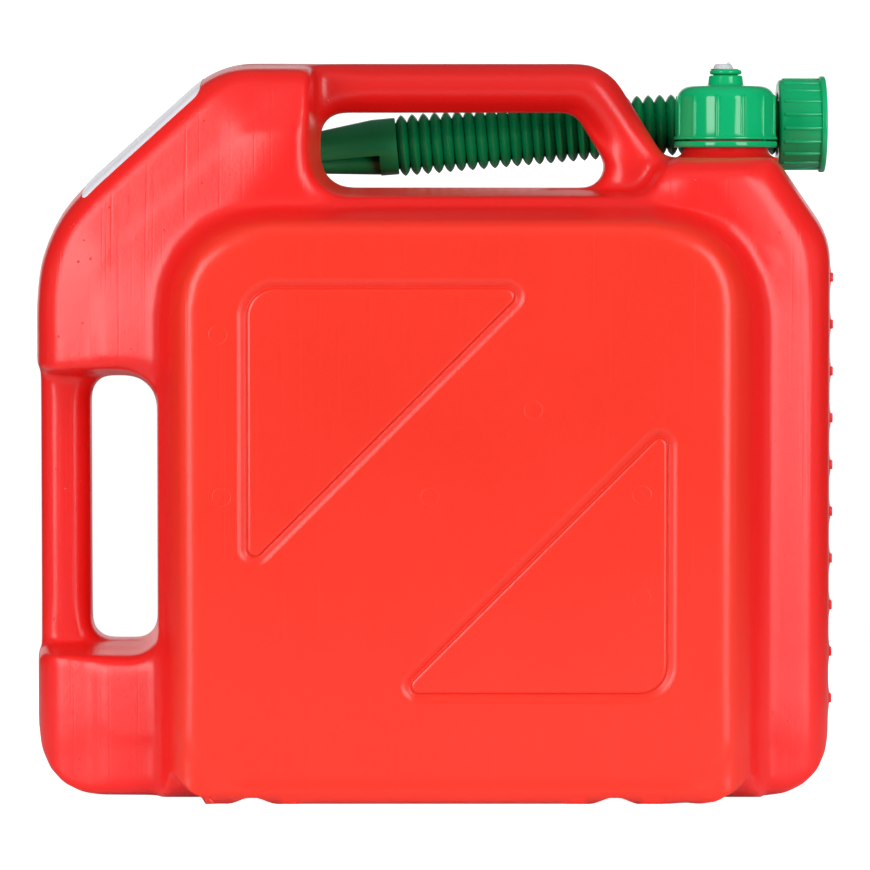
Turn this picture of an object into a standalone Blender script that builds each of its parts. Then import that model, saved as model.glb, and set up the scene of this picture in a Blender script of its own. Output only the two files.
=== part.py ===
"""A 20 litre blow-moulded fuel can with a flexible pouring spout stored behind its top handle.

Metres, +Z up. X runs along the can, from the hand post at -X to the filler neck at +X. Y runs
through its thickness, with the stored spout at +Y, and the can is parted at Y = 0. The origin
is the middle of the flat base.
"""

from math import asin, atan2, cos, hypot, pi, radians, sin, sqrt, tan

import bmesh
import bpy
from mathutils import Matrix, Vector

MM = 0.001

# Can body: overall size and wall
BODY_LENGTH = 411.8 * MM
BODY_HEIGHT = 375.2 * MM
BODY_DEPTH = 172.0 * MM
FRAME_DEPTH = 116.0 * MM
WALL = 3.0 * MM
DRAFT = 0.09

# Can body: outline seen from the side
FOOT_CORNER = 34.0 * MM
SHOULDER_RUN = 95.0 * MM
SHOULDER_DROP = 85.6 * MM
SHOULDER_HIGH_ROUND = 45.0 * MM
SHOULDER_LOW_ROUND = 55.0 * MM
SHOULDER_TOP_LENGTH = 52.5 * MM
SHELF_DROP = 48.7 * MM
NECK_SLOPE_RUN = 28.3 * MM
NECK_SLOPE_DROP = 41.4 * MM
NECK_SLOPE_ROUND = 40.0 * MM
SHELF_CORNER = 8.0 * MM
SHELF_STEP_ROUND = 14.0 * MM
SHOULDER_EDGE_ROUND = 6.0 * MM

# Can body: how its edges turn towards the side faces
EDGE_ROUND = 13.0 * MM
RIM_TILT = radians(17)
RIM_RISE = 6.7 * MM
GRIP_ROUND = 5.0 * MM

# Raised middle panel
PANEL_FROM_POST_END = 65.7 * MM
PANEL_FROM_NECK_END = 36.3 * MM
PANEL_BELOW_GRIP = 9.8 * MM
PANEL_POST_SLOPE = 22.0 * MM
PANEL_NECK_SLOPE = 28.0 * MM
PANEL_TOP_SLOPE = 14.4 * MM
PANEL_FOOT_ROUND = 18.0 * MM
PANEL_RIM_ROUND = 8.0 * MM
PANEL_TOP_CORNER = 54.0 * MM
PANEL_FOOT_CORNER = 40.0 * MM

# Pressed triangles on the panel
GROOVE_LEG = 153.0 * MM
GROOVE_WIDTH = 4.5 * MM
GROOVE_DEPTH = 1.2 * MM
GROOVE_CORNER = 19.5 * MM
GROOVE_TIP = 9.5 * MM
GROOVE_FROM_POST_SIDE = 21.0 * MM
GROOVE_FROM_NECK_SIDE = 18.9 * MM
GROOVE_FROM_TOP = 25.6 * MM
GROOVE_FROM_FOOT = 51.2 * MM

# Top handle and its grip
HANDLE_BAR = 25.5 * MM
HANDLE_DEPTH = 38.0 * MM
HANDLE_ROUND = 9.0 * MM
LEG_FROM_NECK = 78.2 * MM
LEG_WIDTH = 27.0 * MM
LEG_ANGLE = radians(58)
LEG_STEP = 9.0 * MM
GRIP_HEIGHT = 38.5 * MM
BAR_CORNER = 26.7 * MM
GRIP_CORNER = 11.5 * MM

# Side hand post and its grip
POST_WIDTH = 25.8 * MM
POST_DEPTH = 32.0 * MM
POST_SET_BACK = 2.3 * MM
POST_OPENING = 34.0 * MM
POST_GRIP_LOW = 77.0 * MM
POST_GRIP_DROP = 161.7 * MM
POST_GRIP_HIGH_CORNER = 15.6 * MM
POST_GRIP_CORNER = 10.4 * MM
BLOCK_CORNER = 9.0 * MM

# Base channels and level marks
FOOT_CHANNEL_WIDTH = 31.0 * MM
FOOT_CHANNEL_DEPTH = 4.0 * MM
FOOT_CHANNEL_SPACING = 183.0 * MM
FOOT_LIFT = 0.5 * MM
MARK_COUNT = 10
MARK_LOWEST = 46.0 * MM
MARK_BELOW_SHELF = 61.8 * MM
MARK_TALL = 5.0 * MM
MARK_WIDE = 16.0 * MM
MARK_PROUD = 1.2 * MM

# Filler neck and its thread
NECK_FROM_END = 54.6 * MM
NECK_RADIUS = 18.8 * MM
NECK_WALL = 3.0 * MM
NECK_HEIGHT = 32.5 * MM
COLLAR_RADIUS = 22.4 * MM
COLLAR_HEIGHT = 3.7 * MM
THREAD_PITCH = 6.0 * MM
THREAD_RISE = 1.8 * MM
THREAD_BASE = 2.6 * MM
THREAD_CREST = 1.2 * MM
THREAD_TURNS = 1.5

# Clearances, and how far cutters and joined roots run past the surfaces that they meet
FIT = 0.3 * MM
THREAD_PLAY = 0.4 * MM
CUT_OFF = 0.4 * MM
PAST = 40.0 * MM

# Filler cap, its vent and the ring below it
CAP_WALL = 3.6 * MM
CAP_TOP = 2.6 * MM
CAP_LIP = 2.3 * MM
CAP_FLANGE_TALL = 1.8 * MM
CAP_EDGE_ROUND = 6.5 * MM
CAP_RIBS = 12
CAP_RIB = 1.5 * MM
GASKET_THICK = 1.6 * MM
GASKET_WIDE = 4.0 * MM
BOSS_WALL = 2.0 * MM
BOSS_HEIGHT = 5.1 * MM
VENT_BORE = 6.7 * MM
VENT_DISC_PROUD = 1.5 * MM
VENT_DISC_TALL = 2.6 * MM
VENT_SEAL = 1.1 * MM
INSERT_RADIUS = 4.8 * MM
INSERT_SET_IN = 2.0 * MM
INSERT_PROUD = 3.0 * MM
RING_RADIUS = 26.7 * MM
RING_TALL = 2.9 * MM
RING_WALL = 3.1 * MM
RING_GAP = 0.6 * MM

# Spout: where it is stored, and its pieces
SPOUT_BEHIND = 45.0 * MM
SPOUT_ABOVE_SHELF = 17.8 * MM
SPOUT_SLOPE = radians(4.9)
SPOUT_BEND = 70.0 * MM
HOSE_CREST = 16.2 * MM
HOSE_ROOT = 13.0 * MM
HOSE_WALL = 2.4 * MM
HOSE_PITCH = 5.9 * MM
HOSE_FROM_SHOULDER = 39.5 * MM
CUFF_LENGTH = 8.0 * MM
NUT_WALL = 1.7 * MM
NUT_LENGTH = 27.0 * MM
NUT_END_WALL = 2.5 * MM
NUT_FLANGE_PROUD = 2.7 * MM
NUT_FLANGE_LONG = 3.4 * MM
NUT_RIBS = 20
NUT_RIB = 1.3 * MM
NUT_PAST_NECK = 30.7 * MM
FLANGE_WALL = 3.1 * MM
FLANGE_THICK = 2.8 * MM
FLANGE_LIP = 3.7 * MM
NOZZLE_WALL = 1.7 * MM
NOZZLE_COLLAR_LONG = 12.7 * MM
NOZZLE_CONE_LONG = 27.0 * MM
NOZZLE_RADIUS = 11.4 * MM
NOZZLE_TUBE_LONG = 48.0 * MM
FUEL_BORE = 5.4 * MM
BREATHER_RADIUS = 5.4 * MM
BREATHER_BORE = 3.2 * MM
BREATHER_STEP = 4.4 * MM
CHANNEL_LEAD = 14.0 * MM
CHANNEL_END = 4.0 * MM

# Label on the shoulder
LABEL_THICK = 0.4 * MM
LABEL_WIDE = 84.0 * MM
LABEL_LOW_MARGIN = 8.0 * MM
LABEL_HIGH_MARGIN = 1.0 * MM

# Smoothness
ARC_STEPS = 5
HOLLOW_STEPS = 3
ROUND_SIDES = 32
SMALL_SIDES = 24
RIB_SIDES = 6
THREAD_STEPS = 20
LABEL_STEPS = 12

# Places that follow from the sizes above
END_X = BODY_LENGTH / 2
FRAME_Y = FRAME_DEPTH / 2
PANEL_Y = BODY_DEPTH / 2
RIM_ARC = EDGE_ROUND * cos(RIM_TILT)
EDGE_START = FRAME_Y - RIM_RISE - RIM_ARC
BAR_UNDERSIDE = BODY_HEIGHT - HANDLE_BAR
GRIP_FLOOR = BAR_UNDERSIDE - GRIP_HEIGHT
SHELF_Z = BODY_HEIGHT - SHELF_DROP
SHOULDER_X = -END_X + SHOULDER_RUN + SHOULDER_TOP_LENGTH
NECK_X = END_X - NECK_FROM_END
BAR_END_X = NECK_X - LEG_FROM_NECK
LEG_FOOT_X = BAR_END_X + GRIP_HEIGHT / tan(LEG_ANGLE)
POST_X = -END_X + POST_SET_BACK
POST_GRIP_X = POST_X + POST_WIDTH + POST_OPENING
POST_GRIP_TOP = BODY_HEIGHT - POST_GRIP_DROP
MARK_PITCH = (SHELF_Z - MARK_BELOW_SHELF - MARK_LOWEST) / (MARK_COUNT - 1)
NECK_BORE = NECK_RADIUS - NECK_WALL
NECK_RIM = SHELF_Z + NECK_HEIGHT
COLLAR_TOP = SHELF_Z + COLLAR_HEIGHT
THREAD_LOW = NECK_RIM - 3.0 * MM - THREAD_TURNS * THREAD_PITCH
SKIRT_BORE = NECK_RADIUS + THREAD_RISE + THREAD_PLAY
RING_TOP = COLLAR_TOP + FIT + 1.8 * MM + RING_TALL
CAP_FOOT = RING_TOP + RING_GAP
CAP_SKIRT = SKIRT_BORE + CAP_WALL
CAP_CEILING = NECK_RIM + 2 * FIT + GASKET_THICK
CAP_TOP_Z = CAP_CEILING + CAP_TOP
BOSS_TOP = CAP_TOP_Z + BOSS_HEIGHT
NUT_X = NECK_X + NUT_PAST_NECK
NUT_RADIUS = SKIRT_BORE + NUT_WALL
SPOUT_Z = SHELF_Z + SPOUT_ABOVE_SHELF
HOSE_RIBS = round((NUT_X - SHOULDER_X - HOSE_FROM_SHOULDER) / HOSE_PITCH)
HOSE_X = NUT_X - FIT - HOSE_RIBS * HOSE_PITCH
HOSE_BORE = HOSE_ROOT - HOSE_WALL
CUFF_SEAT = HOSE_ROOT + FIT
NOZZLE_LONG = NOZZLE_COLLAR_LONG + NOZZLE_CONE_LONG + NOZZLE_TUBE_LONG


def material(name, colour, roughness):
    """A plain finish for one piece."""
    finish = bpy.data.materials.new(name)
    finish.use_nodes = True
    shader = finish.node_tree.nodes["Principled BSDF"]
    shader.inputs["Base Color"].default_value = (*colour, 1.0)
    shader.inputs["Roughness"].default_value = roughness
    shader.inputs["Metallic"].default_value = 0.0
    return finish


def new_object(name, bm):
    """Turn a bmesh into an object, with its faces pointing out."""
    bmesh.ops.recalc_face_normals(bm, faces=bm.faces)
    mesh = bpy.data.meshes.new(name)
    bm.to_mesh(mesh)
    bm.free()
    mesh.shade_smooth()
    mesh.set_sharp_from_angle(angle=radians(32))
    piece = bpy.data.objects.new(name, mesh)
    bpy.context.scene.collection.objects.link(piece)
    return piece


def place(piece, frame, finish=None):
    """Put a piece in its frame, and give it its material."""
    piece.matrix_world = frame
    if finish is not None:
        piece.data.materials.append(finish)
    return piece


def combine(target, tool, operation):
    """Add a Boolean to the target, and hide the tool that it uses."""
    modifier = target.modifiers.new(tool.name, "BOOLEAN")
    modifier.operation = operation
    modifier.object = tool
    modifier.solver = "EXACT"
    tool.hide_render = True
    tool.display_type = "WIRE"


def meeting_point(point_a, way_a, point_b, way_b):
    """Where two straight lines in a plane cross."""
    along = (point_b - point_a).cross(way_b) / way_a.cross(way_b)
    return point_a + way_a * along


def rounded_outline(corners, insets, steps=ARC_STEPS):
    """Points of a polygon with rounded corners, each edge moved inwards by its own inset.

    corners holds (x, z, radius) anticlockwise, and insets the inset of the edge after each
    corner. A corner that sticks out loses radius as it moves in, down to a third, and one that
    turns in gains it.
    """
    count = len(corners)
    places = [Vector(corner[:2]) for corner in corners]
    ways = [(places[(i + 1) % count] - places[i]).normalized() for i in range(count)]
    starts = [places[i] + Vector((-ways[i].y, ways[i].x)) * insets[i] for i in range(count)]
    tips = [meeting_point(starts[i - 1], ways[i - 1], starts[i], ways[i]) for i in range(count)]
    points = []
    for i in range(count):
        way_in, way_out, tip = ways[i - 1], ways[i], tips[i]
        turn = atan2(way_in.cross(way_out), way_in.dot(way_out))
        side = 1 if turn > 0 else -1
        room = min((tip - tips[i - 1]).length, (tips[(i + 1) % count] - tip).length)
        radius = corners[i][2] - side * (insets[i - 1] + insets[i]) / 2
        radius = max(radius, corners[i][2] / 3, 0.6 * MM)
        radius = min(radius, 0.49 * room / tan(abs(turn) / 2))
        begin = tip - way_in * radius * tan(abs(turn) / 2)
        centre = begin + Vector((-way_in.y, way_in.x)) * radius * side
        for k in range(steps + 1):
            points.append(centre + Matrix.Rotation(turn * k / steps, 2) @ (begin - centre))
    return points


def loft(name, rings):
    """Skin a row of rings, each a list of (x, y, z), and close both ends."""
    bm = bmesh.new()
    loops = [[bm.verts.new(point) for point in ring] for ring in rings]
    size = len(loops[0])
    for near, far in zip(loops, loops[1:]):
        for i in range(size):
            bm.faces.new((near[i], near[(i + 1) % size], far[(i + 1) % size], far[i]))
    bm.faces.new(loops[0])
    bm.faces.new(loops[-1])
    return new_object(name, bm)


def loft_in_depth(name, corners, half_depths, inset_of, steps=ARC_STEPS):
    """Loft an outline through the can's thickness, alike on both sides of the parting plane.

    corners holds (x, z, radius, kind), and inset_of(kind, depth) gives the inset of the edge
    after that corner at a depth.
    """
    depths = [-depth for depth in reversed(half_depths)]
    depths += [depth for depth in half_depths if depth > 0]
    rings = []
    for depth in depths:
        insets = [inset_of(corner[3], abs(depth)) for corner in corners]
        outline = rounded_outline([corner[:3] for corner in corners], insets, steps)
        rings.append([(point.x, depth, point.y) for point in outline])
    return loft(name, rings)


def turned(name, profile, sides=ROUND_SIDES):
    """Spin a profile of (radius, height) about +Z. It is closed unless it ends on the axis."""
    bm = bmesh.new()
    verts = [bm.verts.new((radius, 0, height)) for radius, height in profile]
    edges = [bm.edges.new(pair) for pair in zip(verts, verts[1:])]
    if profile[0][0] > 0:
        edges.append(bm.edges.new((verts[-1], verts[0])))
    bmesh.ops.spin(bm, geom=verts + edges, cent=(0, 0, 0), axis=(0, 0, 1), angle=2 * pi,
                   steps=sides, use_merge=True)
    bmesh.ops.remove_doubles(bm, verts=bm.verts, dist=0.001 * MM)
    return new_object(name, bm)


def arc(radius_at, height_at, size, start, end, steps=4):
    """Profile points on an arc about (radius_at, height_at), from start to end in degrees."""
    angles = [radians(start + (end - start) * k / steps) for k in range(steps + 1)]
    return [(radius_at + size * cos(a), height_at + size * sin(a)) for a in angles]


def thread(name, root, rise, low, turns):
    """A helical ridge on a cylinder of radius root. A negative rise points inwards.

    It fades out at both ends, and its foot is buried in the wall that it grows from.
    """
    bury = 0.6 * MM if rise > 0 else -0.6 * MM
    total = round(THREAD_STEPS * turns)
    rings = []
    for k in range(total + 1):
        fade = min(1.0, 0.2 + k / 4, 0.2 + (total - k) / 4)
        angle = 2 * pi * k / THREAD_STEPS
        middle = low + THREAD_PITCH * k / THREAD_STEPS
        section = [(root - bury, -THREAD_BASE / 2), (root + rise * fade, -THREAD_CREST / 2),
                   (root + rise * fade, THREAD_CREST / 2), (root - bury, THREAD_BASE / 2)]
        rings.append([(r * cos(angle), r * sin(angle), middle + h) for r, h in section])
    return loft(name, rings)


def side_bars(name, count, radius, bar, low, high):
    """Rounded bars set round a cylinder, as finger ribs on a cap."""
    bm = bmesh.new()
    for k in range(count):
        turn = Matrix.Rotation(2 * pi * (k + 0.5) / count, 4, "Z")
        middle = Matrix.Translation((radius, 0, (low + high) / 2))
        bmesh.ops.create_cone(bm, cap_ends=True, segments=RIB_SIDES, radius1=bar, radius2=bar,
                              depth=high - low, matrix=turn @ middle)
    return new_object(name, bm)


def rod(name, radius, low, high, sides=SMALL_SIDES):
    """A plain round cutter or pin along +Z."""
    return turned(name, [(0, low), (radius, low), (radius, high), (0, high)], sides)


def block_inset(kind, depth):
    """How far an edge of the block lies inside its parting line at this depth.

    A side edge drafts in, rounds over and ends in a tilted rim. A flat edge has no draft. A
    grip edge is that of a hole, so it opens outwards and rounds over tightly.
    """
    past = min(max(depth - EDGE_START, 0.0), RIM_ARC)
    turn_in = EDGE_ROUND - sqrt(EDGE_ROUND ** 2 - past ** 2)
    turn_in += max(depth - EDGE_START - RIM_ARC, 0.0) / tan(RIM_TILT)
    flare = min(max(depth - FRAME_Y + GRIP_ROUND, 0.0), GRIP_ROUND)
    flare_out = GRIP_ROUND - sqrt(GRIP_ROUND ** 2 - flare ** 2)
    return {
        "side": turn_in + DRAFT * depth,
        "flat": turn_in,
        "grip": flare_out + DRAFT * depth,
    }[kind]


def block_depths():
    """Depths at which the block's outline is drawn, close together where it rounds over."""
    rim = [EDGE_START + RIM_ARC * share for share in (0, 0.38, 0.68, 0.88, 1)]
    flare = [FRAME_Y - GRIP_ROUND * share for share in (0.44, 0.12, 0)]
    return [0.0] + sorted(rim + flare)


def block(name, wall=0.0):
    """The can without its panel and handles or, with a wall, the hollow inside it."""
    shoulder_back = SHOULDER_X + PAST
    corners = [
        (-END_X, FOOT_LIFT, FOOT_CORNER, "flat"),
        (END_X, FOOT_LIFT, FOOT_CORNER, "side"),
        (END_X, SHELF_Z - NECK_SLOPE_DROP, NECK_SLOPE_ROUND, "side"),
        (END_X - NECK_SLOPE_RUN, SHELF_Z, SHELF_CORNER, "flat"),
        (shoulder_back, SHELF_Z, 0, "side"),
        (shoulder_back, BODY_HEIGHT, 0, "side"),
        (-END_X + SHOULDER_RUN, BODY_HEIGHT, SHOULDER_HIGH_ROUND, "side"),
        (-END_X, BODY_HEIGHT - SHOULDER_DROP, SHOULDER_LOW_ROUND, "side"),
    ]
    depths = [max(depth - wall, 0.0) for depth in block_depths()]

    def inset_of(kind, depth):
        return block_inset(kind, depth + wall if depth else 0.0) + wall

    return loft_in_depth(name, corners, depths, inset_of, HOLLOW_STEPS if wall else ARC_STEPS)


def grip_cut(name, corners, wall):
    """A cutter for a grip. Its skin and shelf edges stay just off the block's own surface.

    The shelf rounds over further down than the grip's floor, so it stops just above the floor.
    """
    off = CUT_OFF - wall

    def inset_of(kind, depth):
        depth = min(depth, FRAME_Y)
        grip = -block_inset("grip", depth) - wall
        return {
            "grip": grip,
            "skin": -block_inset("side", depth) + off,
            "shelf": max(-block_inset("flat", depth) + off, grip + GRIP_FLOOR - SHELF_Z + MM),
            "far": 0.0,
        }[kind]

    steps = HOLLOW_STEPS if wall else ARC_STEPS
    return loft_in_depth(name, corners, block_depths() + [PANEL_Y], inset_of, steps)


def top_grip_cut(name, wall=0.0):
    """The top grip and the open air above the shelf."""
    step_x = LEG_FOOT_X + LEG_STEP
    far_x, far_z = END_X + PAST, BODY_HEIGHT + PAST
    corners = [
        (SHOULDER_X, GRIP_FLOOR, POST_GRIP_HIGH_CORNER, "grip"),
        (step_x, GRIP_FLOOR, GRIP_CORNER, "grip"),
        (step_x + LEG_STEP, SHELF_Z, SHELF_STEP_ROUND, "shelf"),
        (far_x, SHELF_Z, 0, "far"),
        (far_x, far_z, 0, "far"),
        (SHOULDER_X - PAST, far_z, 0, "far"),
        (SHOULDER_X - PAST, BODY_HEIGHT, 0, "skin"),
        (SHOULDER_X, BODY_HEIGHT, SHOULDER_EDGE_ROUND, "grip"),
    ]
    return grip_cut(name, corners, wall)


def post_grip_cut(name, wall=0.0):
    """The side grip and the open air past its post."""
    far_x = -END_X - PAST
    low, high = POST_GRIP_LOW - PAST, POST_GRIP_TOP + PAST
    corners = [
        (far_x, low, 0, "far"),
        (-END_X, low, 0, "skin"),
        (-END_X, POST_GRIP_LOW, BLOCK_CORNER, "grip"),
        (POST_GRIP_X, POST_GRIP_LOW, POST_GRIP_CORNER, "grip"),
        (POST_GRIP_X, POST_GRIP_TOP, POST_GRIP_HIGH_CORNER, "grip"),
        (-END_X, POST_GRIP_TOP, BLOCK_CORNER, "skin"),
        (-END_X, high, 0, "far"),
        (far_x, high, 0, "far"),
    ]
    return grip_cut(name, corners, wall)


def round_bar(name, corners, width, depth, wall):
    """A handle of this outline, with its edges rounded over, or the hollow inside it."""
    size = min(HANDLE_ROUND, 0.4 * width, 0.4 * depth)
    shares = [sin(radians(angle)) for angle in (0, 25, 50, 72)]
    start = depth / 2 - size * shares[-1]
    depths = [0.0] + [start + size * share - wall for share in shares]

    def inset_of(kind, half_depth):
        past = max(half_depth + wall - start, 0.0) if half_depth else 0.0
        return size - sqrt(size ** 2 - past ** 2) + wall

    steps = HOLLOW_STEPS if wall else ARC_STEPS
    sided = [(*corner, "side") for corner in corners]
    return loft_in_depth(name, sided, depths, inset_of, steps)


def top_handle(name, wall=0.0):
    """Bar and leg of the top handle. Their roots reach into the block and end in fillets."""
    tuck = FIT
    top = BODY_HEIGHT - tuck
    out_x = BAR_END_X + LEG_WIDTH / sin(LEG_ANGLE)
    bar_corner_x = out_x - (top - BAR_UNDERSIDE) / tan(LEG_ANGLE)
    shelf_x = out_x + (BAR_UNDERSIDE - SHELF_Z + tuck) / tan(LEG_ANGLE)
    corners = [
        (SHOULDER_X - PAST, top, 0),
        (SHOULDER_X - PAST, GRIP_FLOOR, 0),
        (SHOULDER_X - tuck, GRIP_FLOOR, 0),
        (SHOULDER_X - tuck, BAR_UNDERSIDE, GRIP_CORNER),
        (BAR_END_X, BAR_UNDERSIDE, GRIP_CORNER),
        (LEG_FOOT_X, GRIP_FLOOR - tuck, GRIP_CORNER),
        (LEG_FOOT_X - PAST, GRIP_FLOOR - tuck, 0),
        (LEG_FOOT_X - PAST, GRIP_FLOOR - PAST, 0),
        (shelf_x + PAST / 2, GRIP_FLOOR - PAST, 0),
        (shelf_x + PAST / 2, SHELF_Z - tuck, 0),
        (shelf_x, SHELF_Z - tuck, GRIP_CORNER / 2),
        (bar_corner_x, top, BAR_CORNER),
    ]
    return round_bar(name, corners, HANDLE_BAR, HANDLE_DEPTH, wall)


def hand_post(name, wall=0.0):
    """Upright hand post. Its roots reach into the blocks above and below it."""
    inner_x = POST_X + POST_WIDTH
    low, high = POST_GRIP_LOW - FIT, POST_GRIP_TOP + FIT
    corners = [
        (POST_X, low - PAST, 0),
        (inner_x + PAST, low - PAST, 0),
        (inner_x + PAST, low, 0),
        (inner_x, low, POST_GRIP_CORNER),
        (inner_x, high, POST_GRIP_CORNER),
        (inner_x + PAST, high, 0),
        (inner_x + PAST, high + PAST, 0),
        (POST_X, high + PAST, 0),
    ]
    return round_bar(name, corners, POST_WIDTH, POST_DEPTH, wall)


def slope_profile(run, rise, rim_round, steps):
    """A straight slope that ends in an arc along the panel, as (run, rise) pairs."""
    reach = hypot(run, rise - rim_round)
    slope = atan2(rise - rim_round, run) + asin(min(rim_round / reach, 1.0))
    angles = [slope * (1 - k / steps) for k in range(steps + 1)]
    rim = [(run - rim_round * sin(a), rise - rim_round * (1 - cos(a))) for a in angles]
    return [(0.0, 0.0)] + rim


def panel(name, wall=0.0):
    """The raised middle panel through the can, or the hollow inside it.

    Its four sides climb by their own slopes, and the foot is a plain round. It is drawn as
    rings, and the depth of a ring changes from one side to the next along its corners.
    """
    steps = HOLLOW_STEPS if wall else ARC_STEPS
    left, right = -END_X + PANEL_FROM_POST_END, END_X - PANEL_FROM_NECK_END
    top = GRIP_FLOOR - PANEL_BELOW_GRIP
    rise = PANEL_Y - FRAME_Y
    foot, neck_side, high, post_side = (
        slope_profile(run, rise, rim_round, steps) for run, rim_round in (
            (PANEL_FOOT_ROUND, PANEL_FOOT_ROUND), (PANEL_NECK_SLOPE, PANEL_RIM_ROUND),
            (PANEL_TOP_SLOPE, PANEL_RIM_ROUND), (PANEL_POST_SLOPE, PANEL_RIM_ROUND)))
    rings = []
    for level in range(len(foot)):
        sides = [profile[level] for profile in (foot, neck_side, high, post_side)]
        runs = [side[0] + wall for side in sides]
        radii = [PANEL_FOOT_CORNER, PANEL_FOOT_CORNER, PANEL_TOP_CORNER, PANEL_TOP_CORNER]
        corners = [(left, 0), (right, 0), (right, top), (left, top)]
        outline = rounded_outline([(*c, r) for c, r in zip(corners, radii)], runs, steps)
        ring = []
        for i, point in enumerate(outline):
            corner, step = divmod(i, steps + 1)
            share = step / steps
            rise_here = sides[corner - 1][1] * (1 - share) + sides[corner][1] * share
            ring.append((point.x, FRAME_Y + rise_here - wall, point.y))
        rings.append(ring)
    back = [[(x, -y, z) for x, y, z in ring] for ring in reversed(rings)]
    return loft(name, back + rings)


def triangle_groove(name, corner_x, corner_z, way, side):
    """A ring-shaped cutter for one pressed triangle on the panel face at this side."""
    corners = [(corner_x, corner_z, GROOVE_CORNER),
               (corner_x, corner_z - way * GROOVE_LEG, GROOVE_TIP),
               (corner_x + way * GROOVE_LEG, corner_z, GROOVE_TIP)]
    face = side * PANEL_Y
    bottom = side * (PANEL_Y - GROOVE_DEPTH)
    above = side * (PANEL_Y + GROOVE_DEPTH)
    half = GROOVE_WIDTH / 2
    bm = bmesh.new()
    loops = []
    for inset, depth in ((-half, above), (-half, face), (0, bottom), (half * 0.7, bottom),
                         (half, face), (half, above)):
        outline = rounded_outline(corners, [inset + half] * 3)
        loops.append([bm.verts.new((point.x, depth, point.y)) for point in outline])
    size = len(loops[0])
    for outer, inner in zip(loops, loops[1:] + loops[:1]):
        for i in range(size):
            bm.faces.new((outer[i], outer[(i + 1) % size], inner[(i + 1) % size], inner[i]))
    return new_object(name, bm)


def foot_channels(name, wall=0.0):
    """Two channels across the base, or the lumps that keep the hollow clear of them."""
    bm = bmesh.new()
    half = FOOT_CHANNEL_WIDTH / 2 + wall
    lead = FOOT_CHANNEL_DEPTH * 1.5
    top = FOOT_CHANNEL_DEPTH + wall
    for middle in (-FOOT_CHANNEL_SPACING / 2, FOOT_CHANNEL_SPACING / 2):
        section = [(-half - lead, -2 * lead), (half + lead, -2 * lead), (half + lead / 2, 0),
                   (half - lead / 2, top * 0.9), (half - lead, top), (-half + lead, top),
                   (-half + lead / 2, top * 0.9), (-half - lead / 2, 0)]
        ends = [[bm.verts.new((middle + x, depth, z)) for x, z in section]
                for depth in (-BODY_DEPTH, BODY_DEPTH)]
        for i in range(len(section)):
            j = (i + 1) % len(section)
            bm.faces.new((ends[0][i], ends[0][j], ends[1][j], ends[1][i]))
        bm.faces.new(ends[0])
        bm.faces.new(ends[1])
    return new_object(name, bm)


def level_marks(name):
    """Short bars up the narrow end face, one for every two litres."""
    bm = bmesh.new()
    for k in range(MARK_COUNT):
        middle = Vector((END_X, 0, MARK_LOWEST + k * MARK_PITCH))
        size = Matrix.Diagonal((2 * MARK_PROUD, MARK_WIDE, MARK_TALL, 1))
        bmesh.ops.create_cube(bm, size=1, matrix=Matrix.Translation(middle) @ size)
    return new_object(name, bm)


def spout_height(x):
    """Height of the stored spout's axis: level at its nut, then bent down to a slope."""
    bend_end = NUT_X - 2 * HOSE_CREST
    past = max(bend_end - x, 0.0)
    slope = tan(SPOUT_SLOPE)
    if past < SPOUT_BEND:
        return SPOUT_Z - slope * past ** 2 / (2 * SPOUT_BEND)
    return SPOUT_Z - slope * (past - SPOUT_BEND / 2)


def spout_channel(name, frame, wall=0.0):
    """The channel, open at the back, that holds the nozzle behind the shoulder."""
    radius = NOZZLE_RADIUS + FIT + wall
    low = NOZZLE_COLLAR_LONG + NOZZLE_CONE_LONG - CHANNEL_LEAD
    high = NOZZLE_LONG + CHANNEL_END + wall
    away = PANEL_Y
    section = [(radius, away), (radius, 0)]
    section += [(r, -h) for r, h in arc(0, 0, radius, 18, 162, 8)]
    section += [(-radius, 0), (-radius, away)]
    rings = [[(x, y, height) for x, y in section] for height in (low, high)]
    return place(loft(name, rings), frame)


def tube(name, points, radii, bevel_resolution=2):
    """A curve with a round bevel and filled caps, made a mesh. radii are absolute."""
    curve = bpy.data.curves.new(name, "CURVE")
    curve.dimensions = "3D"
    curve.bevel_depth = MM
    curve.bevel_resolution = bevel_resolution
    curve.use_fill_caps = True
    spline = curve.splines.new("POLY")
    spline.points.add(len(points) - 1)
    for point, place_at, radius in zip(spline.points, points, radii):
        point.co = (*place_at, 1)
        point.radius = radius / MM
    guide = bpy.data.objects.new(name + "_path", curve)
    bpy.context.scene.collection.objects.link(guide)
    graph = bpy.context.evaluated_depsgraph_get()
    mesh = bpy.data.meshes.new_from_object(guide.evaluated_get(graph))
    bpy.data.objects.remove(guide)
    bm = bmesh.new()
    bm.from_mesh(mesh)
    bmesh.ops.remove_doubles(bm, verts=bm.verts, dist=0.001 * MM)
    return new_object(name, bm)


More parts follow.
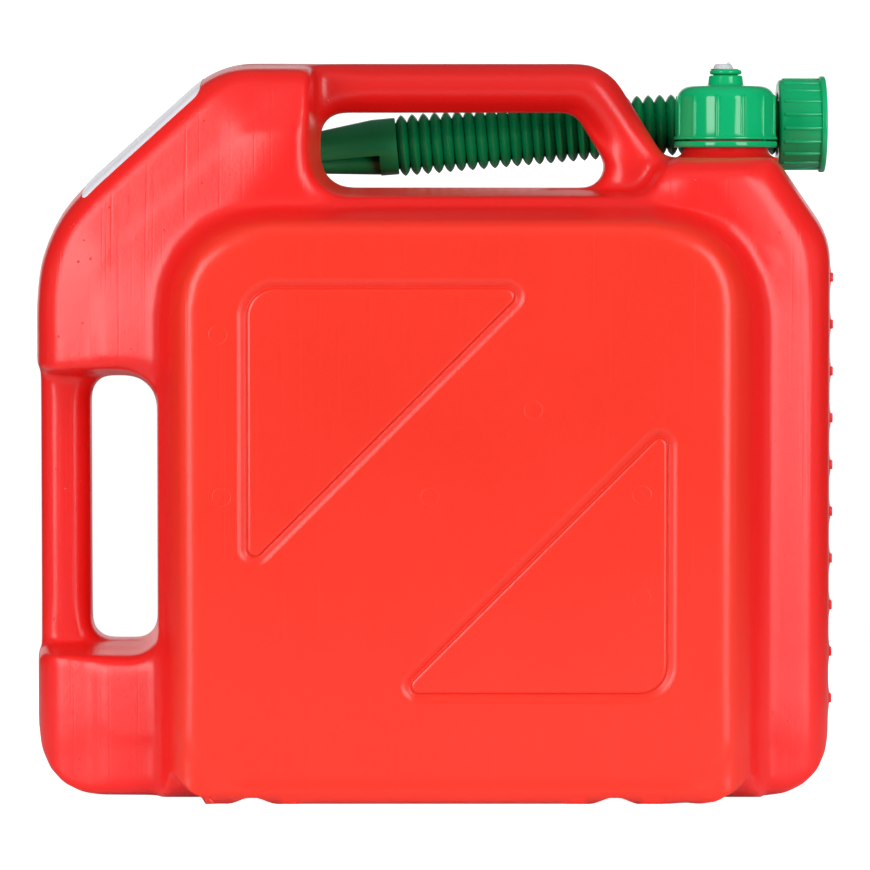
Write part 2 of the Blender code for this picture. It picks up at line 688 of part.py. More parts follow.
def make_can():
    """Body of the can: outer forms joined, then its hollow, neck and details."""
    body = block("can_body")
    nozzle_frame = spout_frames()[1]
    combine(body, top_grip_cut("top_grip"), "DIFFERENCE")
    combine(body, post_grip_cut("post_grip"), "DIFFERENCE")
    combine(body, panel("panel_form"), "UNION")
    combine(body, top_handle("handle_form"), "UNION")
    combine(body, hand_post("post_form"), "UNION")
    neck = [(0, SHELF_Z - 2 * WALL), (COLLAR_RADIUS, SHELF_Z - 2 * WALL),
            *arc(COLLAR_RADIUS - 1.5 * MM, COLLAR_TOP - 1.5 * MM, 1.5 * MM, 0, 90, 3),
            (NECK_RADIUS, COLLAR_TOP), (NECK_RADIUS, NECK_RIM), (0, NECK_RIM)]
    at_neck = Matrix.Translation((NECK_X, 0, 0))
    combine(body, place(turned("neck_form", neck), at_neck), "UNION")
    neck_thread = thread("neck_thread", NECK_RADIUS, THREAD_RISE, THREAD_LOW, THREAD_TURNS)
    combine(body, place(neck_thread, at_neck), "UNION")
    combine(body, level_marks("level_marks"), "UNION")
    combine(body, spout_channel("spout_channel", nozzle_frame), "DIFFERENCE")
    combine(body, foot_channels("foot_channels"), "DIFFERENCE")

    post_side = -END_X + PANEL_FROM_POST_END + PANEL_POST_SLOPE + GROOVE_FROM_POST_SIDE
    neck_side = END_X - PANEL_FROM_NECK_END - PANEL_NECK_SLOPE - GROOVE_FROM_NECK_SIDE
    high = GRIP_FLOOR - PANEL_BELOW_GRIP - PANEL_TOP_SLOPE - GROOVE_FROM_TOP
    for side, label in ((-1, "front"), (1, "back")):
        upper = triangle_groove("upper_groove_" + label, post_side, high, 1, side)
        lower = triangle_groove("lower_groove_" + label, neck_side, GROOVE_FROM_FOOT, -1, side)
        combine(body, upper, "DIFFERENCE")
        combine(body, lower, "DIFFERENCE")

    hollow = block("hollow", WALL)
    combine(hollow, top_grip_cut("top_grip_wall", WALL), "DIFFERENCE")
    combine(hollow, post_grip_cut("post_grip_wall", WALL), "DIFFERENCE")
    combine(hollow, panel("panel_hollow", WALL), "UNION")
    combine(hollow, top_handle("handle_hollow", WALL), "UNION")
    combine(hollow, hand_post("post_hollow", WALL), "UNION")
    combine(hollow, spout_channel("spout_channel_wall", nozzle_frame, WALL), "DIFFERENCE")
    combine(hollow, foot_channels("foot_channels_wall", WALL), "DIFFERENCE")
    bore = rod("neck_bore", NECK_BORE, GRIP_FLOOR, NECK_RIM + WALL, ROUND_SIDES)
    combine(hollow, place(bore, at_neck), "UNION")
    combine(body, hollow, "DIFFERENCE")
    place(body, Matrix(), material("red_polyethylene", (0.83, 0.02, 0.015), 0.32))


def make_label():
    """Film label on the slanted shoulder, following the draft on both sides of the parting."""
    low = Vector((-END_X, BODY_HEIGHT - SHOULDER_DROP))
    high = Vector((-END_X + SHOULDER_RUN, BODY_HEIGHT))
    way = (high - low).normalized()
    out = Vector((-way.y, way.x))
    turn = atan2(way.x, way.y)
    start = SHOULDER_LOW_ROUND * tan(turn / 2) + LABEL_LOW_MARGIN
    length = (high - low).length
    end = length - SHOULDER_HIGH_ROUND * tan((pi / 2 - turn) / 2) - LABEL_HIGH_MARGIN
    rings = []
    for step in range(-LABEL_STEPS, LABEL_STEPS + 1):
        depth = LABEL_WIDE / 2 * step / LABEL_STEPS
        under = FIT - block_inset("side", abs(depth))
        section = [(start, under), (end, under), (end, under + LABEL_THICK),
                   (start, under + LABEL_THICK)]
        spots = [low + way * along + out * off for along, off in section]
        rings.append([(spot.x, depth, spot.y) for spot in spots])
    place(loft("shoulder_label", rings), Matrix(), material("label_film", (0.85, 0.85, 0.86), 0.3))


def make_cap():
    """Cap, its gasket, the ring left on the neck, and the vent plug in the cap's boss."""
    at_neck = Matrix.Translation((NECK_X, 0, 0))
    green = material("green_polypropylene", (0.0, 0.36, 0.13), 0.3)
    boss = VENT_BORE + BOSS_WALL
    flange_radius = CAP_SKIRT + CAP_LIP
    flange_top = CAP_FOOT + CAP_FLANGE_TALL
    profile = [(SKIRT_BORE, CAP_FOOT), (flange_radius, CAP_FOOT),
               (flange_radius, flange_top - 0.5 * MM), (flange_radius - 0.5 * MM, flange_top),
               (CAP_SKIRT, flange_top),
               *arc(CAP_SKIRT - CAP_EDGE_ROUND, CAP_TOP_Z - CAP_EDGE_ROUND, CAP_EDGE_ROUND, 0, 90),
               (boss, CAP_TOP_Z), (boss, BOSS_TOP - 0.6 * MM), (boss - 0.6 * MM, BOSS_TOP),
               (VENT_BORE, BOSS_TOP), (VENT_BORE, CAP_CEILING), (SKIRT_BORE, CAP_CEILING)]
    cap = turned("filler_cap", profile)
    ribs = side_bars("cap_ribs", CAP_RIBS, CAP_SKIRT - CAP_RIB / 3, CAP_RIB,
                     CAP_FOOT + 0.6 * MM, CAP_TOP_Z - CAP_EDGE_ROUND + 1.5 * MM)
    combine(cap, place(ribs, at_neck), "UNION")
    grip = thread("cap_thread", SKIRT_BORE, -THREAD_RISE, THREAD_LOW - THREAD_PITCH / 2,
                  THREAD_TURNS - 0.25)
    combine(cap, place(grip, at_neck), "UNION")
    place(cap, at_neck, green)

    black = material("black_rubber", (0.02, 0.02, 0.02), 0.6)
    seat = NECK_RIM + FIT
    gasket_out = NECK_RADIUS + FIT
    gasket = turned("cap_gasket", [(gasket_out - GASKET_WIDE, seat), (gasket_out, seat),
                                   (gasket_out, seat + GASKET_THICK),
                                   (gasket_out - GASKET_WIDE, seat + GASKET_THICK)])
    place(gasket, at_neck, black)

    flap_low = COLLAR_TOP + FIT
    ring_low = RING_TOP - RING_TALL
    ring_in = RING_RADIUS - RING_WALL
    ring = turned("tamper_ring", [
        (RING_RADIUS - 0.7 * MM, ring_low), (RING_RADIUS, ring_low + 0.7 * MM),
        (RING_RADIUS, RING_TOP - 0.7 * MM), (RING_RADIUS - 0.7 * MM, RING_TOP),
        (ring_in, RING_TOP), (ring_in - 0.5 * MM, RING_TOP - 1.2 * MM),
        (NECK_RADIUS + FIT, flap_low + 1.0 * MM), (NECK_RADIUS + FIT, flap_low),
        (COLLAR_RADIUS - MM, flap_low), (ring_in + 0.6 * MM, ring_low)])
    place(ring, at_neck, green)

    stem = VENT_BORE - FIT
    disc = VENT_BORE + VENT_DISC_PROUD
    disc_low = BOSS_TOP + FIT
    disc_top = disc_low + VENT_DISC_TALL
    stem_low = CAP_CEILING + FIT
    groove_low = stem_low + 2.0 * MM
    groove_high = groove_low + VENT_SEAL + 2 * FIT
    groove = stem - VENT_SEAL
    pocket = INSERT_RADIUS + FIT
    plug = turned("vent_plug", [
        (0, stem_low), (stem - 0.5 * MM, stem_low), (stem, stem_low + 0.5 * MM),
        (stem, groove_low), (groove, groove_low), (groove, groove_high), (stem, groove_high),
        (stem, disc_low), (disc - 0.5 * MM, disc_low), (disc, disc_low + 0.5 * MM),
        (disc, disc_top - 0.6 * MM), (disc - 0.6 * MM, disc_top), (pocket, disc_top),
        (pocket, disc_top - INSERT_SET_IN), (0, disc_top - INSERT_SET_IN)], SMALL_SIDES)
    place(plug, at_neck, green)

    half = VENT_SEAL / 2
    seal_z = (groove_low + groove_high) / 2
    seal = turned("vent_seal", arc(groove + FIT + half, seal_z, half, 0, 300, 5), SMALL_SIDES)
    place(seal, at_neck, black)

    insert_low = disc_top - INSERT_SET_IN + FIT
    insert_top = disc_top + INSERT_PROUD
    insert = turned("vent_insert", [
        (0, insert_low), (INSERT_RADIUS, insert_low), (INSERT_RADIUS, disc_top),
        (INSERT_RADIUS - 0.6 * MM, insert_top - 0.5 * MM), (INSERT_RADIUS - MM, insert_top),
        (0, insert_top)], SMALL_SIDES)
    nib = rod("vent_nib", 0.9 * MM, insert_top - MM, insert_top + 0.9 * MM, 8)
    combine(insert, place(nib, at_neck @ Matrix.Translation((1.6 * MM, 0, 0))), "UNION")
    place(insert, at_neck, material("clear_polyethylene", (0.62, 0.64, 0.66), 0.25))


def spout_frames():
    """Frames of the nut, with +Z along the hose's end, and of the nozzle, towards its tip."""
    nut = Matrix.Translation((NUT_X, SPOUT_BEHIND, SPOUT_Z)) @ Matrix.Rotation(pi / 2, 4, "Y")
    hose_end = Matrix.Translation((HOSE_X, SPOUT_BEHIND, spout_height(HOSE_X)))
    return nut, hose_end @ Matrix.Rotation(-pi / 2 - SPOUT_SLOPE, 4, "Y")


def make_hose(green, nut_frame, nozzle_frame):
    """The ribbed hose: a zigzag of roots and crests between two plain cuffs, bored through."""
    def spot(x):
        return Vector((x, SPOUT_BEHIND, spout_height(x)))

    cuff_end = nozzle_frame @ Vector((0, 0, CUFF_LENGTH))
    far_end = NUT_X + NUT_END_WALL + FLANGE_THICK
    points, radii = [cuff_end], [HOSE_ROOT]
    for k in range(2 * HOSE_RIBS + 1):
        points.append(spot(HOSE_X + k * HOSE_PITCH / 2))
        radii.append(HOSE_CREST if k % 2 else HOSE_ROOT)
    points.append(Vector((far_end, SPOUT_BEHIND, SPOUT_Z)))
    radii.append(HOSE_ROOT)
    hose = tube("spout_hose", points, radii)

    past = MM
    bore_points = [nozzle_frame @ Vector((0, 0, CUFF_LENGTH + past))]
    bore_points += [spot(HOSE_X + k * 4 * HOSE_PITCH) for k in range(HOSE_RIBS // 4 + 1)]
    bore_points.append(Vector((far_end + past, SPOUT_BEHIND, SPOUT_Z)))
    combine(hose, tube("hose_bore", bore_points, [HOSE_BORE] * len(bore_points)), "DIFFERENCE")
    origin = Matrix.Translation(nut_frame.translation)
    hose.data.transform(origin.inverted())
    place(hose, origin, green)


def make_nozzle(green, frame):
    """Nozzle: a collar over the hose's cuff, a cone and a tube, with a breather tube below."""
    collar = CUFF_SEAT + NOZZLE_WALL
    cone_low = NOZZLE_COLLAR_LONG
    tube_low = cone_low + NOZZLE_CONE_LONG
    socket = CUFF_LENGTH + FIT
    nozzle = turned("spout_nozzle", [
        (CUFF_SEAT, FIT), (collar, FIT), (collar, cone_low - MM), (collar - 0.5 * MM, cone_low),
        (NOZZLE_RADIUS, tube_low), (NOZZLE_RADIUS, NOZZLE_LONG - 2 * MM),
        (NOZZLE_RADIUS - 1.5 * MM, NOZZLE_LONG), (FUEL_BORE / 2, NOZZLE_LONG),
        (FUEL_BORE / 2, socket), (CUFF_SEAT, socket)])
    recess_low = socket + 1.6 * MM
    drop = BREATHER_RADIUS - NOZZLE_RADIUS
    size = Vector((collar, 3 * collar, NOZZLE_LONG))
    middle = Vector((-BREATHER_STEP - size.x / 2, 0, recess_low + size.z / 2))
    bm = bmesh.new()
    bmesh.ops.create_cube(bm, size=1, matrix=Matrix.Translation(middle)
                          @ Matrix.Diagonal((*size, 1)))
    combine(nozzle, place(new_object("breather_recess", bm), frame), "DIFFERENCE")
    at_breather = frame @ Matrix.Translation((drop, 0, 0))
    breather = rod("breather_tube", BREATHER_RADIUS, recess_low - MM, NOZZLE_LONG - 4 * MM)
    combine(nozzle, place(breather, at_breather), "UNION")
    at_fuel = frame @ Matrix.Translation((FUEL_BORE / 2, 0, 0))
    fuel = rod("fuel_bore", FUEL_BORE, socket - 1.1 * MM, NOZZLE_LONG + MM)
    combine(nozzle, place(fuel, at_fuel), "DIFFERENCE")
    bore = rod("breather_bore", BREATHER_BORE, socket - 1.3 * MM, NOZZLE_LONG)
    combine(nozzle, place(bore, at_breather), "DIFFERENCE")
    place(nozzle, frame, green)


def make_nut(green, frame):
    """Coupling nut that screws the spout on the neck, with the flange and gasket in it."""
    hole = CUFF_SEAT + FLANGE_WALL + FIT
    lip = NUT_RADIUS + NUT_FLANGE_PROUD
    lip_low = NUT_LENGTH - NUT_FLANGE_LONG
    nut = turned("spout_nut", [
        (hole, 0), (NUT_RADIUS - 1.5 * MM, 0), (NUT_RADIUS, 1.5 * MM), (NUT_RADIUS, lip_low),
        (lip - 0.5 * MM, lip_low), (lip, lip_low + 0.5 * MM), (lip, NUT_LENGTH - 0.5 * MM),
        (lip - 0.5 * MM, NUT_LENGTH), (SKIRT_BORE, NUT_LENGTH), (SKIRT_BORE, NUT_END_WALL),
        (hole, NUT_END_WALL)])
    ribs = side_bars("nut_ribs", NUT_RIBS, NUT_RADIUS - NUT_RIB / 3, NUT_RIB, 2 * MM,
                     lip_low + MM)
    combine(nut, place(ribs, frame), "UNION")
    turns = THREAD_TURNS - 0.25
    nut_thread = thread("nut_thread", SKIRT_BORE, -THREAD_RISE,
                        NUT_LENGTH - 3 * MM - turns * THREAD_PITCH, turns)
    combine(nut, place(nut_thread, frame), "UNION")
    place(nut, frame, green)

    disc_low = NUT_END_WALL + FIT
    disc_high = disc_low + FLANGE_THICK
    sleeve = CUFF_SEAT + FLANGE_WALL
    disc = sleeve + FLANGE_LIP
    flange = turned("spout_flange", [
        (CUFF_SEAT, FIT), (sleeve, FIT), (sleeve, disc_low), (disc, disc_low),
        (disc, disc_high), (CUFF_SEAT, disc_high)])
    place(flange, frame, green)
    seat = disc_high + FIT
    washer = turned("nut_gasket", [
        (disc - GASKET_WIDE, seat), (disc, seat), (disc, seat + GASKET_THICK),
        (disc - GASKET_WIDE, seat + GASKET_THICK)])
    place(washer, frame, material("spout_gasket_rubber", (0.02, 0.02, 0.02), 0.6))


def make_spout():
    """The stored spout: hose, nozzle, and coupling nut with its flange."""
    nut_frame, nozzle_frame = spout_frames()
    make_hose(material("dark_green_hose", (0.0, 0.15, 0.045), 0.35), nut_frame, nozzle_frame)
    make_nozzle(material("dark_green_nozzle", (0.0, 0.12, 0.035), 0.35), nozzle_frame)
    make_nut(material("green_nut", (0.0, 0.18, 0.06), 0.32), nut_frame)


def clear_scene():
    """Start from an empty scene."""
    for leftover in list(bpy.data.objects):
        bpy.data.objects.remove(leftover)


clear_scene()
make_can()
make_label()
make_cap()
make_spout()
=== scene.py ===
from math import atan, cos, pi, radians, sin, tan

import bpy
import numpy as np
from mathutils import Matrix, Vector


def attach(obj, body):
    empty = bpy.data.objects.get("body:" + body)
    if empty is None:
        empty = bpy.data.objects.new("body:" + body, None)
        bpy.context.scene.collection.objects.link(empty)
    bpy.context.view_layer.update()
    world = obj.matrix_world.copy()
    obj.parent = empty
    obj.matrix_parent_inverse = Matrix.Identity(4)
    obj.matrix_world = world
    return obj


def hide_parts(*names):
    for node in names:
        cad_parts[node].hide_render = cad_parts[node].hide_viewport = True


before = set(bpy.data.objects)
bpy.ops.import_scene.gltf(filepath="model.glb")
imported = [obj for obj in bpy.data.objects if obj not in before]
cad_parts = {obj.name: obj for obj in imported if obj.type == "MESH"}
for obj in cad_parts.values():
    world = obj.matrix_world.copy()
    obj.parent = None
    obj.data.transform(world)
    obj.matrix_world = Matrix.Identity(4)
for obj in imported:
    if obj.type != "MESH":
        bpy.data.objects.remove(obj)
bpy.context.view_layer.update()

# Studio: a pale paper floor in a plain room, two soft boxes in front, and a camera at the height
# of the handle, looking a little down at the middle of the can.

paper_white = (0.93, 0.93, 0.94)
wall_in_front = 0.12
wall_at_sides = 0.05
wall_behind = 1.2
ceiling = 0.20
camera_distance = 2.446
camera_height = 0.315
aim_at = Vector((0.0008, 0.0, 0.1825))
pixel = 0.00052
photo_width = 870 * pixel
sensor = 36


def nothing_selected():
    """Leave edit mode and deselect everything."""
    if bpy.context.object is not None and bpy.context.object.mode != "OBJECT":
        bpy.ops.object.mode_set(mode="OBJECT")
    bpy.ops.object.select_all(action="DESELECT")


def take(piece):
    """Make a piece the only selected object, and the active one."""
    nothing_selected()
    piece.select_set(True)
    bpy.context.view_layer.objects.active = piece
    return piece


def new_material(name):
    """A material, its node tree and its Principled shader."""
    material = bpy.data.materials.new(name)
    material.use_nodes = True
    tree = material.node_tree
    return material, tree, tree.nodes["Principled BSDF"]


def link(tree, out, into):
    """Join an output socket to an input socket."""
    tree.links.new(out, into)


def fill_in(tree, node, **values):
    """Set a node's inputs by name, with _ for a space, to numbers, colours or links."""
    for label, value in values.items():
        socket = node.inputs[label.replace("_", " ")]
        if isinstance(value, bpy.types.NodeSocket):
            link(tree, value, socket)
        else:
            socket.default_value = value
    return node


def math_node(tree, operation, *values):
    """A Math node from sockets or plain numbers, and its output."""
    node = tree.nodes.new("ShaderNodeMath")
    node.operation = operation
    for socket, value in zip(node.inputs, values):
        if isinstance(value, (int, float)):
            socket.default_value = value
        else:
            link(tree, value, socket)
    return node.outputs[0]


def rise(tree, value, start, end, low=0.0, high=1.0, kind="SMOOTHSTEP"):
    """A number that goes from low to high while a value goes from start to end."""
    node = tree.nodes.new("ShaderNodeMapRange")
    node.interpolation_type = kind
    fill_in(tree, node, Value=value, From_Min=start, From_Max=end, To_Min=low, To_Max=high)
    return node.outputs[0]


nothing_selected()
bpy.ops.mesh.primitive_circle_add(vertices=96, radius=0.8, fill_type="NGON", location=(0, 0, 0))
floor = bpy.context.object
floor.name = "paper_floor"
paper, paper_tree, paper_shader = new_material("studio_paper")
fill_in(paper_tree, paper_shader, Base_Color=(*paper_white, 1), Roughness=0.9,
        Specular_IOR_Level=0.2, Emission_Color=(1, 1, 1, 1),
        Emission_Strength=paper_tree.nodes.new("ShaderNodeLightPath").outputs["Is Camera Ray"])
floor.data.materials.append(paper)

room = bpy.data.worlds.new("bright_room")
room.use_nodes = True
walls = room.node_tree
backdrop = walls.nodes["Background"]
facing = walls.nodes.new("ShaderNodeSeparateXYZ")
link(walls, walls.nodes.new("ShaderNodeTexCoord").outputs["Generated"], facing.inputs[0])
to_front = rise(walls, facing.outputs["Y"], -0.1, -1.0, wall_at_sides, wall_in_front)
to_back = rise(walls, facing.outputs["Y"], 0.84, 0.99, wall_at_sides, wall_behind)
below_dim = rise(walls, facing.outputs["Z"], -0.14, 0.0, 0.1, 1.0)
to_back = math_node(walls, "MULTIPLY", to_back, below_dim)
to_top = rise(walls, facing.outputs["Z"], 0.3, 1.0, wall_at_sides, ceiling)
lit_walls = math_node(walls, "MAXIMUM", math_node(walls, "MAXIMUM", to_front, to_back), to_top)
seen_white = walls.nodes.new("ShaderNodeLightPath").outputs["Is Camera Ray"]
fill_in(walls, backdrop, Color=(1.0, 1.0, 1.0, 1),
        Strength=math_node(walls, "MAXIMUM", lit_walls, seen_white))
bpy.context.scene.world = room

for name, place, size, watts, seen in (
        ("left_soft_box", (-1.42, -1.99, 0.65), (0.95, 1.5), 28, True),
        ("right_soft_box", (1.34, -1.85, 0.65), (0.95, 1.5), 24, True),
        ("top_wash", (0, -0.9, 1.3), (1.6, 0.8), 6.5, False),
        ("left_wash", (-2.1, -0.5, 0.4), (1.0, 1.0), 8, False),
        ("right_wash", (2.1, -0.5, 0.4), (1.0, 1.0), 9, False)):
    light = bpy.data.lights.new(name, "AREA")
    light.shape = "RECTANGLE"
    light.size, light.size_y = size
    light.energy = watts
    lamp = bpy.data.objects.new(name, light)
    bpy.context.scene.collection.objects.link(lamp)
    lamp.location = place
    lamp.rotation_euler = (aim_at - Vector(place)).to_track_quat("-Z", "Y").to_euler()
    lamp.visible_glossy = seen

camera_data = bpy.data.cameras.new("front_camera")
camera = bpy.data.objects.new("front_camera", camera_data)
bpy.context.scene.collection.objects.link(camera)
camera.location = (aim_at.x, -camera_distance, camera_height)
line_of_sight = aim_at - camera.location
camera.rotation_euler = line_of_sight.to_track_quat("-Z", "Y").to_euler()
camera_data.sensor_width = sensor
camera_data.lens = sensor * line_of_sight.length / photo_width
camera_data.clip_start, camera_data.clip_end = 0.05, 30
bpy.context.scene.camera = camera
bpy.context.scene.view_settings.view_transform = "Standard"

# Can skin: one blow-moulded shell of red polyethylene about 3 mm thick, closed along a flash
# line round its middle, with the top handle and the hand post moulded in one with it.

neck_x = 0.1513
shelf_z = 0.3265
collar_radius = 0.0224
neck_bore = 0.0158
voxel = 0.0020


def merged_copy(node, name):
    """A copy of a CAD node's mesh as a new object, with its loose triangles merged."""
    copy = bpy.data.objects.new(name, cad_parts[node].data.copy())
    copy.data.materials.clear()
    bpy.context.scene.collection.objects.link(copy)
    take(copy)
    bpy.ops.object.mode_set(mode="EDIT")
    bpy.ops.mesh.select_all(action="SELECT")
    bpy.ops.mesh.remove_doubles(threshold=0.00001)
    bpy.ops.mesh.select_all(action="DESELECT")
    bpy.ops.object.mode_set(mode="OBJECT")
    return copy


def apply_all(piece):
    """Apply every modifier of a piece, in order."""
    take(piece)
    for modifier in list(piece.modifiers):
        bpy.ops.object.modifier_apply(modifier=modifier.name)


def faced_out(piece, doubles=0):
    """Merge a piece's doubles within a distance, if one is given, and turn its faces outwards."""
    take(piece)
    bpy.ops.object.mode_set(mode="EDIT")
    bpy.ops.mesh.select_all(action="SELECT")
    if doubles:
        bpy.ops.mesh.remove_doubles(threshold=doubles)
    bpy.ops.mesh.normals_make_consistent(inside=False)
    bpy.ops.mesh.select_all(action="DESELECT")
    bpy.ops.object.mode_set(mode="OBJECT")


skin = merged_copy("can_body", "can_skin")
for face in skin.data.polygons:
    corners = [skin.data.vertices[i].co for i in face.vertices]
    from_axis = [Vector((c.x - neck_x, c.y)).length for c in corners]
    lowest = min(c.z for c in corners)
    in_neck = max(from_axis) < collar_radius + 0.0002 and lowest > shelf_z - 0.0004
    in_bore = max(from_axis) < neck_bore + 0.0005 and lowest > shelf_z - 0.008
    face.select = in_neck or in_bore
bpy.ops.object.mode_set(mode="EDIT")
bpy.ops.mesh.select_mode(type="FACE")
bpy.ops.mesh.delete(type="FACE")
bpy.ops.mesh.separate(type="LOOSE")
bpy.ops.object.mode_set(mode="OBJECT")
shells = sorted(bpy.context.selected_objects, key=lambda shell: shell.dimensions.y)
lining, skin = shells[-2], shells[-1]
for scrap in shells[:-2]:
    bpy.data.objects.remove(scrap)
skin.name, lining.name = "can_skin", "can_lining"

take(skin)
bpy.ops.object.mode_set(mode="EDIT")
bpy.ops.mesh.select_mode(type="VERT")
bpy.ops.mesh.select_all(action="DESELECT")
bpy.ops.mesh.select_non_manifold()
bpy.ops.mesh.edge_face_add()
bpy.ops.object.mode_set(mode="OBJECT")
moulded = skin.modifiers.new("moulded", "REMESH")
moulded.mode = "VOXEL"
moulded.voxel_size = voxel
apply_all(skin)

end_x = 0.2059
side_foot = Vector((-end_x, 0.2896))
side_slope = Vector((0.7429, 0.6694))
neck_foot = Vector((end_x, 0.2851))
neck_slope = Vector((-0.5643, 0.8255))
left_edges = ((side_foot, Vector((1, 0))), (side_foot, Vector((side_slope.y, -side_slope.x))))
right_edges = ((neck_foot, Vector((-1, 0))), (neck_foot, Vector((-neck_slope.y, neck_slope.x))))
left_lean = ([0, 0.006, 0.009, 0.012, 0.015, 0.017, 0.0311, 0.0357, 0.062],
             [-0.0040, -0.0039, -0.0034, -0.0030, -0.0030, -0.0032, -0.0050, -0.0042, 0])
left_lean_above = ([0, 0.013, 0.035, 0.0615], [-0.0040, -0.0031, -0.0052, 0])
right_lean = ([0, 0.003, 0.006, 0.009, 0.011, 0.0125, 0.015, 0.0311, 0.0357],
              [0, 0.0003, 0.0009, 0.0017, 0.0022, 0.0025, 0.0026, 0.0006, 0])
rim_out_left, rim_out_right = 0.0030, 0.0044
foot_fuller = 0.007
bar_z, bar_half = 0.3634, 0.0118
leg_x, leg_z, leg_half = 0.0905, 0.3502, 0.0112
post_x, post_half = -0.1918, 0.0141
bar_round, post_round = 0.6, 0.4


def ease(share):
    """A smooth step from 0 to 1."""
    share = np.clip(share, 0, 1)
    return share * share * (3 - 2 * share)


def inside_lines(x, z, edges, blend=0.006):
    """How far places lie inside straight edges, each a corner and an inward way, blended."""
    total = sum(np.exp(-((x - c.x) * w.x + (z - c.y) * w.y) / blend) for c, w in edges)
    return -blend * np.log(total)


def sculpt(mesh):
    """Shape the outer or the inner face of the wall: the slopes, the handle and the shoulder."""
    places = np.empty(len(mesh.vertices) * 3)
    mesh.vertices.foreach_get("co", places)
    places = places.reshape(-1, 3)
    x, y, z = places.T
    deep = ease((np.abs(y) - 0.020) / 0.022)
    left = inside_lines(x, z, left_edges)
    lean = np.interp(left, *left_lean)
    lean += ease((z - 0.215) / 0.045) * (np.interp(left, *left_lean_above) - lean)
    lean *= ease((-0.060 - x) / 0.050)
    lean += np.interp(inside_lines(x, z, right_edges), *right_lean)
    places[:, 1] += np.sign(y) * deep * lean
    at_rim = ease((np.abs(y) - 0.062) / 0.014)
    places[:, 0] -= rim_out_left * at_rim * ease((-0.095 - x) / 0.02)
    places[:, 0] += rim_out_right * at_rim * ease((x - 0.115) / 0.02)
    fuller = foot_fuller * ease(1 - z / 0.016) * ease((np.abs(y) - 0.045) / 0.015)
    places[:, 1] += np.sign(y) * fuller * ease((x + 0.150) / 0.02) * ease((0.178 - x) / 0.02)
    over_bar = (z - bar_z) / bar_half
    over_leg = ((x - leg_x) * 0.81 + (z - leg_z) * 0.59) / leg_half
    across = np.clip(0.12 * np.log(np.exp(over_bar / 0.12) + np.exp(over_leg / 0.12)), -1, 1)
    in_handle = ease((x + 0.062) / 0.03) * ease((z - 0.322) / 0.022) * ease((0.135 - x) / 0.02)
    across_post = np.clip((x - post_x) / post_half, -1, 1)
    in_post = ease((z - 0.080) / 0.02) * ease((0.218 - z) / 0.02) * ease((-0.170 - x) / 0.005)
    places[:, 1] *= 1 - in_handle * (1 - np.sqrt(1 - bar_round * across ** 2))
    places[:, 1] *= 1 - in_post * (1 - np.sqrt(1 - post_round * across_post ** 2))
    low_shoulder = ease(1 - np.hypot(x - side_foot.x, z - side_foot.y) / 0.045)
    places[:, 0] = np.minimum(places[:, 0], end_x)
    places[:, 0] += 0.0028 * low_shoulder
    places[:, 2] -= 0.0011 * low_shoulder
    mesh.vertices.foreach_set("co", places.ravel())
    mesh.update()


sculpt(skin.data)
sculpt(lining.data)
soft_places = skin.vertex_groups.new(name="soft_places")
for vertex in skin.data.vertices:
    x, y, z = vertex.co
    root = max(ease(1 - abs(x + 0.060) / 0.020) * ease((z - 0.318) / 0.012),
               ease(1.4 - Vector((x - 0.122, z - 0.337)).length / 0.020))
    softer = float(max(root, 0.6 * ease((abs(y) - 0.048) / 0.008) * ease((z - 0.030) / 0.020)))
    if softer > 0.01:
        soft_places.add([vertex.index], softer, "REPLACE")
for name, rounds, places in (("softened", 7, ""), ("softened_more", 24, "soft_places")):
    softened = skin.modifiers.new(name, "SMOOTH")
    softened.factor = 0.5
    softened.iterations = rounds
    softened.vertex_group = places
apply_all(skin)


def front(x, z, side=-1):
    """How far out the front (side -1) or the back (side 1) of the skin is at a place."""
    hit, place = skin.ray_cast((x, side * 0.2, z), (0, -side, 0))[:2]
    return side * place.y if hit else 0.0


def blunt_minimum(first, second, blend):
    """The smaller of two depths, rounded where they meet."""
    return -blend * np.log(np.exp(-first / blend) + np.exp(-second / blend))


foot_radius = 0.034
edge_low, edge_rise = 0.0389, 0.0195
near_floor = 0.0008
facet_low, facet_slope, facet_high = 0.0553, 0.178, 0.0592
levels = {}
moves = []


def level(kind, key, x, z):
    """The front's depth at a place, remembered by kind and key."""
    if (kind, key) not in levels:
        levels[kind, key] = front(x, z)
    return levels[kind, key]


def edge_round(inside, reach):
    """Depth of a rounded edge that reaches its full depth some way inside the outline."""
    return edge_low + edge_rise * (1 - (1 - min(max(inside / reach, 0), 1)) ** 2) ** 0.5


